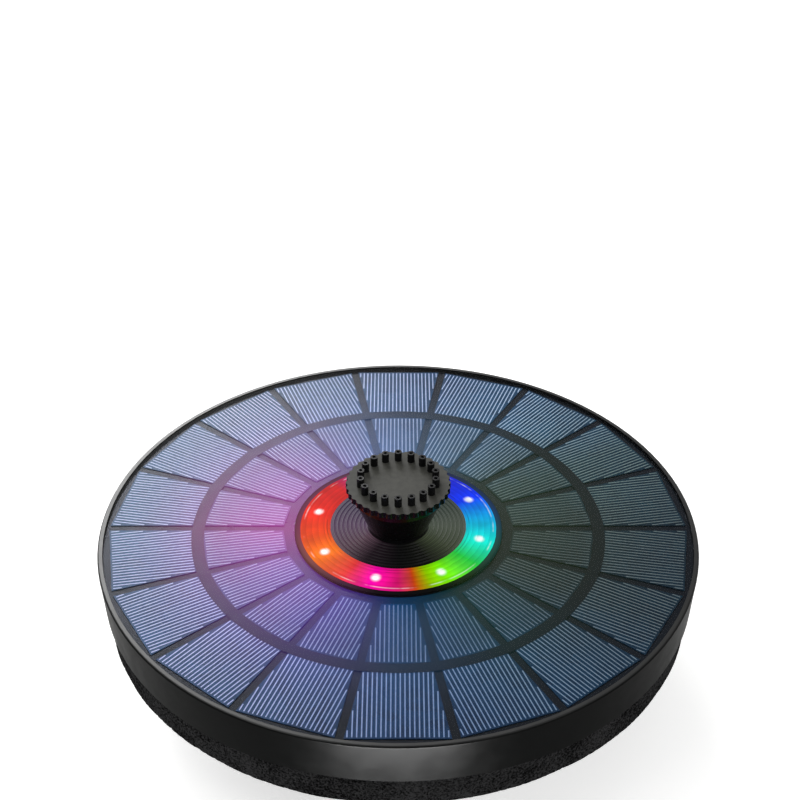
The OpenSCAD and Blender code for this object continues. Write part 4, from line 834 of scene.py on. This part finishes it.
def studioFloor():
    # matt white paper: keeps the shadow, and reads as white to the camera
    material, tree, inMm = newMaterial("paperFloor")
    fibres = addNode(tree, "TexNoise", {"Scale": 1 / 40, "Detail": 4.0}, Vector=inMm)
    shade = addNode(tree, "ValToRGB", {"stops": ((0.0, "#ECECEB"), (1.0, "#F0F0EF"))},
                    Fac=fibres.outputs["Fac"])
    lift = addNode(tree, "Math", {"operation": "MULTIPLY", 1: studio["floorGlow"]}, i0=seenDirectly(tree))
    paper = addNode(tree, "BsdfDiffuse", None, Color=shade.outputs[0])
    glow = addNode(tree, "Emission", None, Strength=lift.outputs[0])
    both = addNode(tree, "AddShader", None, i0=paper.outputs[0], i1=glow.outputs[0])
    addNode(tree, "OutputMaterial", Surface=both.outputs[0])
    mesh = bpy.data.meshes.new("floor")
    size, sides = studio["floor"] * mm, studio["sides"]
    ring = [(size * math.cos(2 * math.pi * k / sides), size * math.sin(2 * math.pi * k / sides),
             -studio["depth"] * mm) for k in range(sides)]
    mesh.from_pydata(ring, [], [list(range(sides))])
    mesh.materials.append(material)
    floor = bpy.data.objects.new("floor", mesh)
    bpy.context.scene.collection.objects.link(floor)


def whiteWorld():
    world = bpy.data.worlds.new("studio")
    bpy.context.scene.world = world
    world.use_nodes = True
    air = world.node_tree
    air.nodes.clear()
    level = addNode(air, "MapRange", {"To Min": studio["light"], "To Max": studio["seen"]},
                    Value=seenDirectly(air))
    back = addNode(air, "Background", {"Color": hexColour("#FFFFFF")}, Strength=level.outputs[0])
    addNode(air, "OutputWorld", Surface=back.outputs[0])


# places and sizes in mm, spread in degrees
lamps = {
    "keyBox": {"place": (-700, -300, 1300), "size": (900, 700), "watts": 4.5},
    "fillBox": {"place": (900, -700, 900), "size": (600, 400), "watts": 2.5},
    "backBox": {"place": (-560, 1400, 880), "size": (1000, 900), "watts": 22},
    # a low card that gives the front wall its short highlight, and shows in reflections only
    "frontStrip": {"place": (0, -140, 10), "size": (74, 20), "watts": 0.42, "spread": 100},
}
aimedAt = Vector((0, 0, 50)) * mm

studioFloor()
whiteWorld()
for name, look in lamps.items():
    lamp = bpy.data.lights.new(name, "AREA")
    lamp.shape = "RECTANGLE"
    lamp.size, lamp.size_y = look["size"][0] * mm, look["size"][1] * mm
    lamp.energy = look["watts"]
    holder = bpy.data.objects.new(name, lamp)
    bpy.context.scene.collection.objects.link(holder)
    holder.location = Vector(look["place"]) * mm
    holder.rotation_euler = (aimedAt - holder.location).to_track_quat("-Z", "Y").to_euler()
    holder.visible_camera = False
    if "spread" in look:
        lamp.spread = math.radians(look["spread"])
        holder.visible_diffuse = False
print("studio is lit")
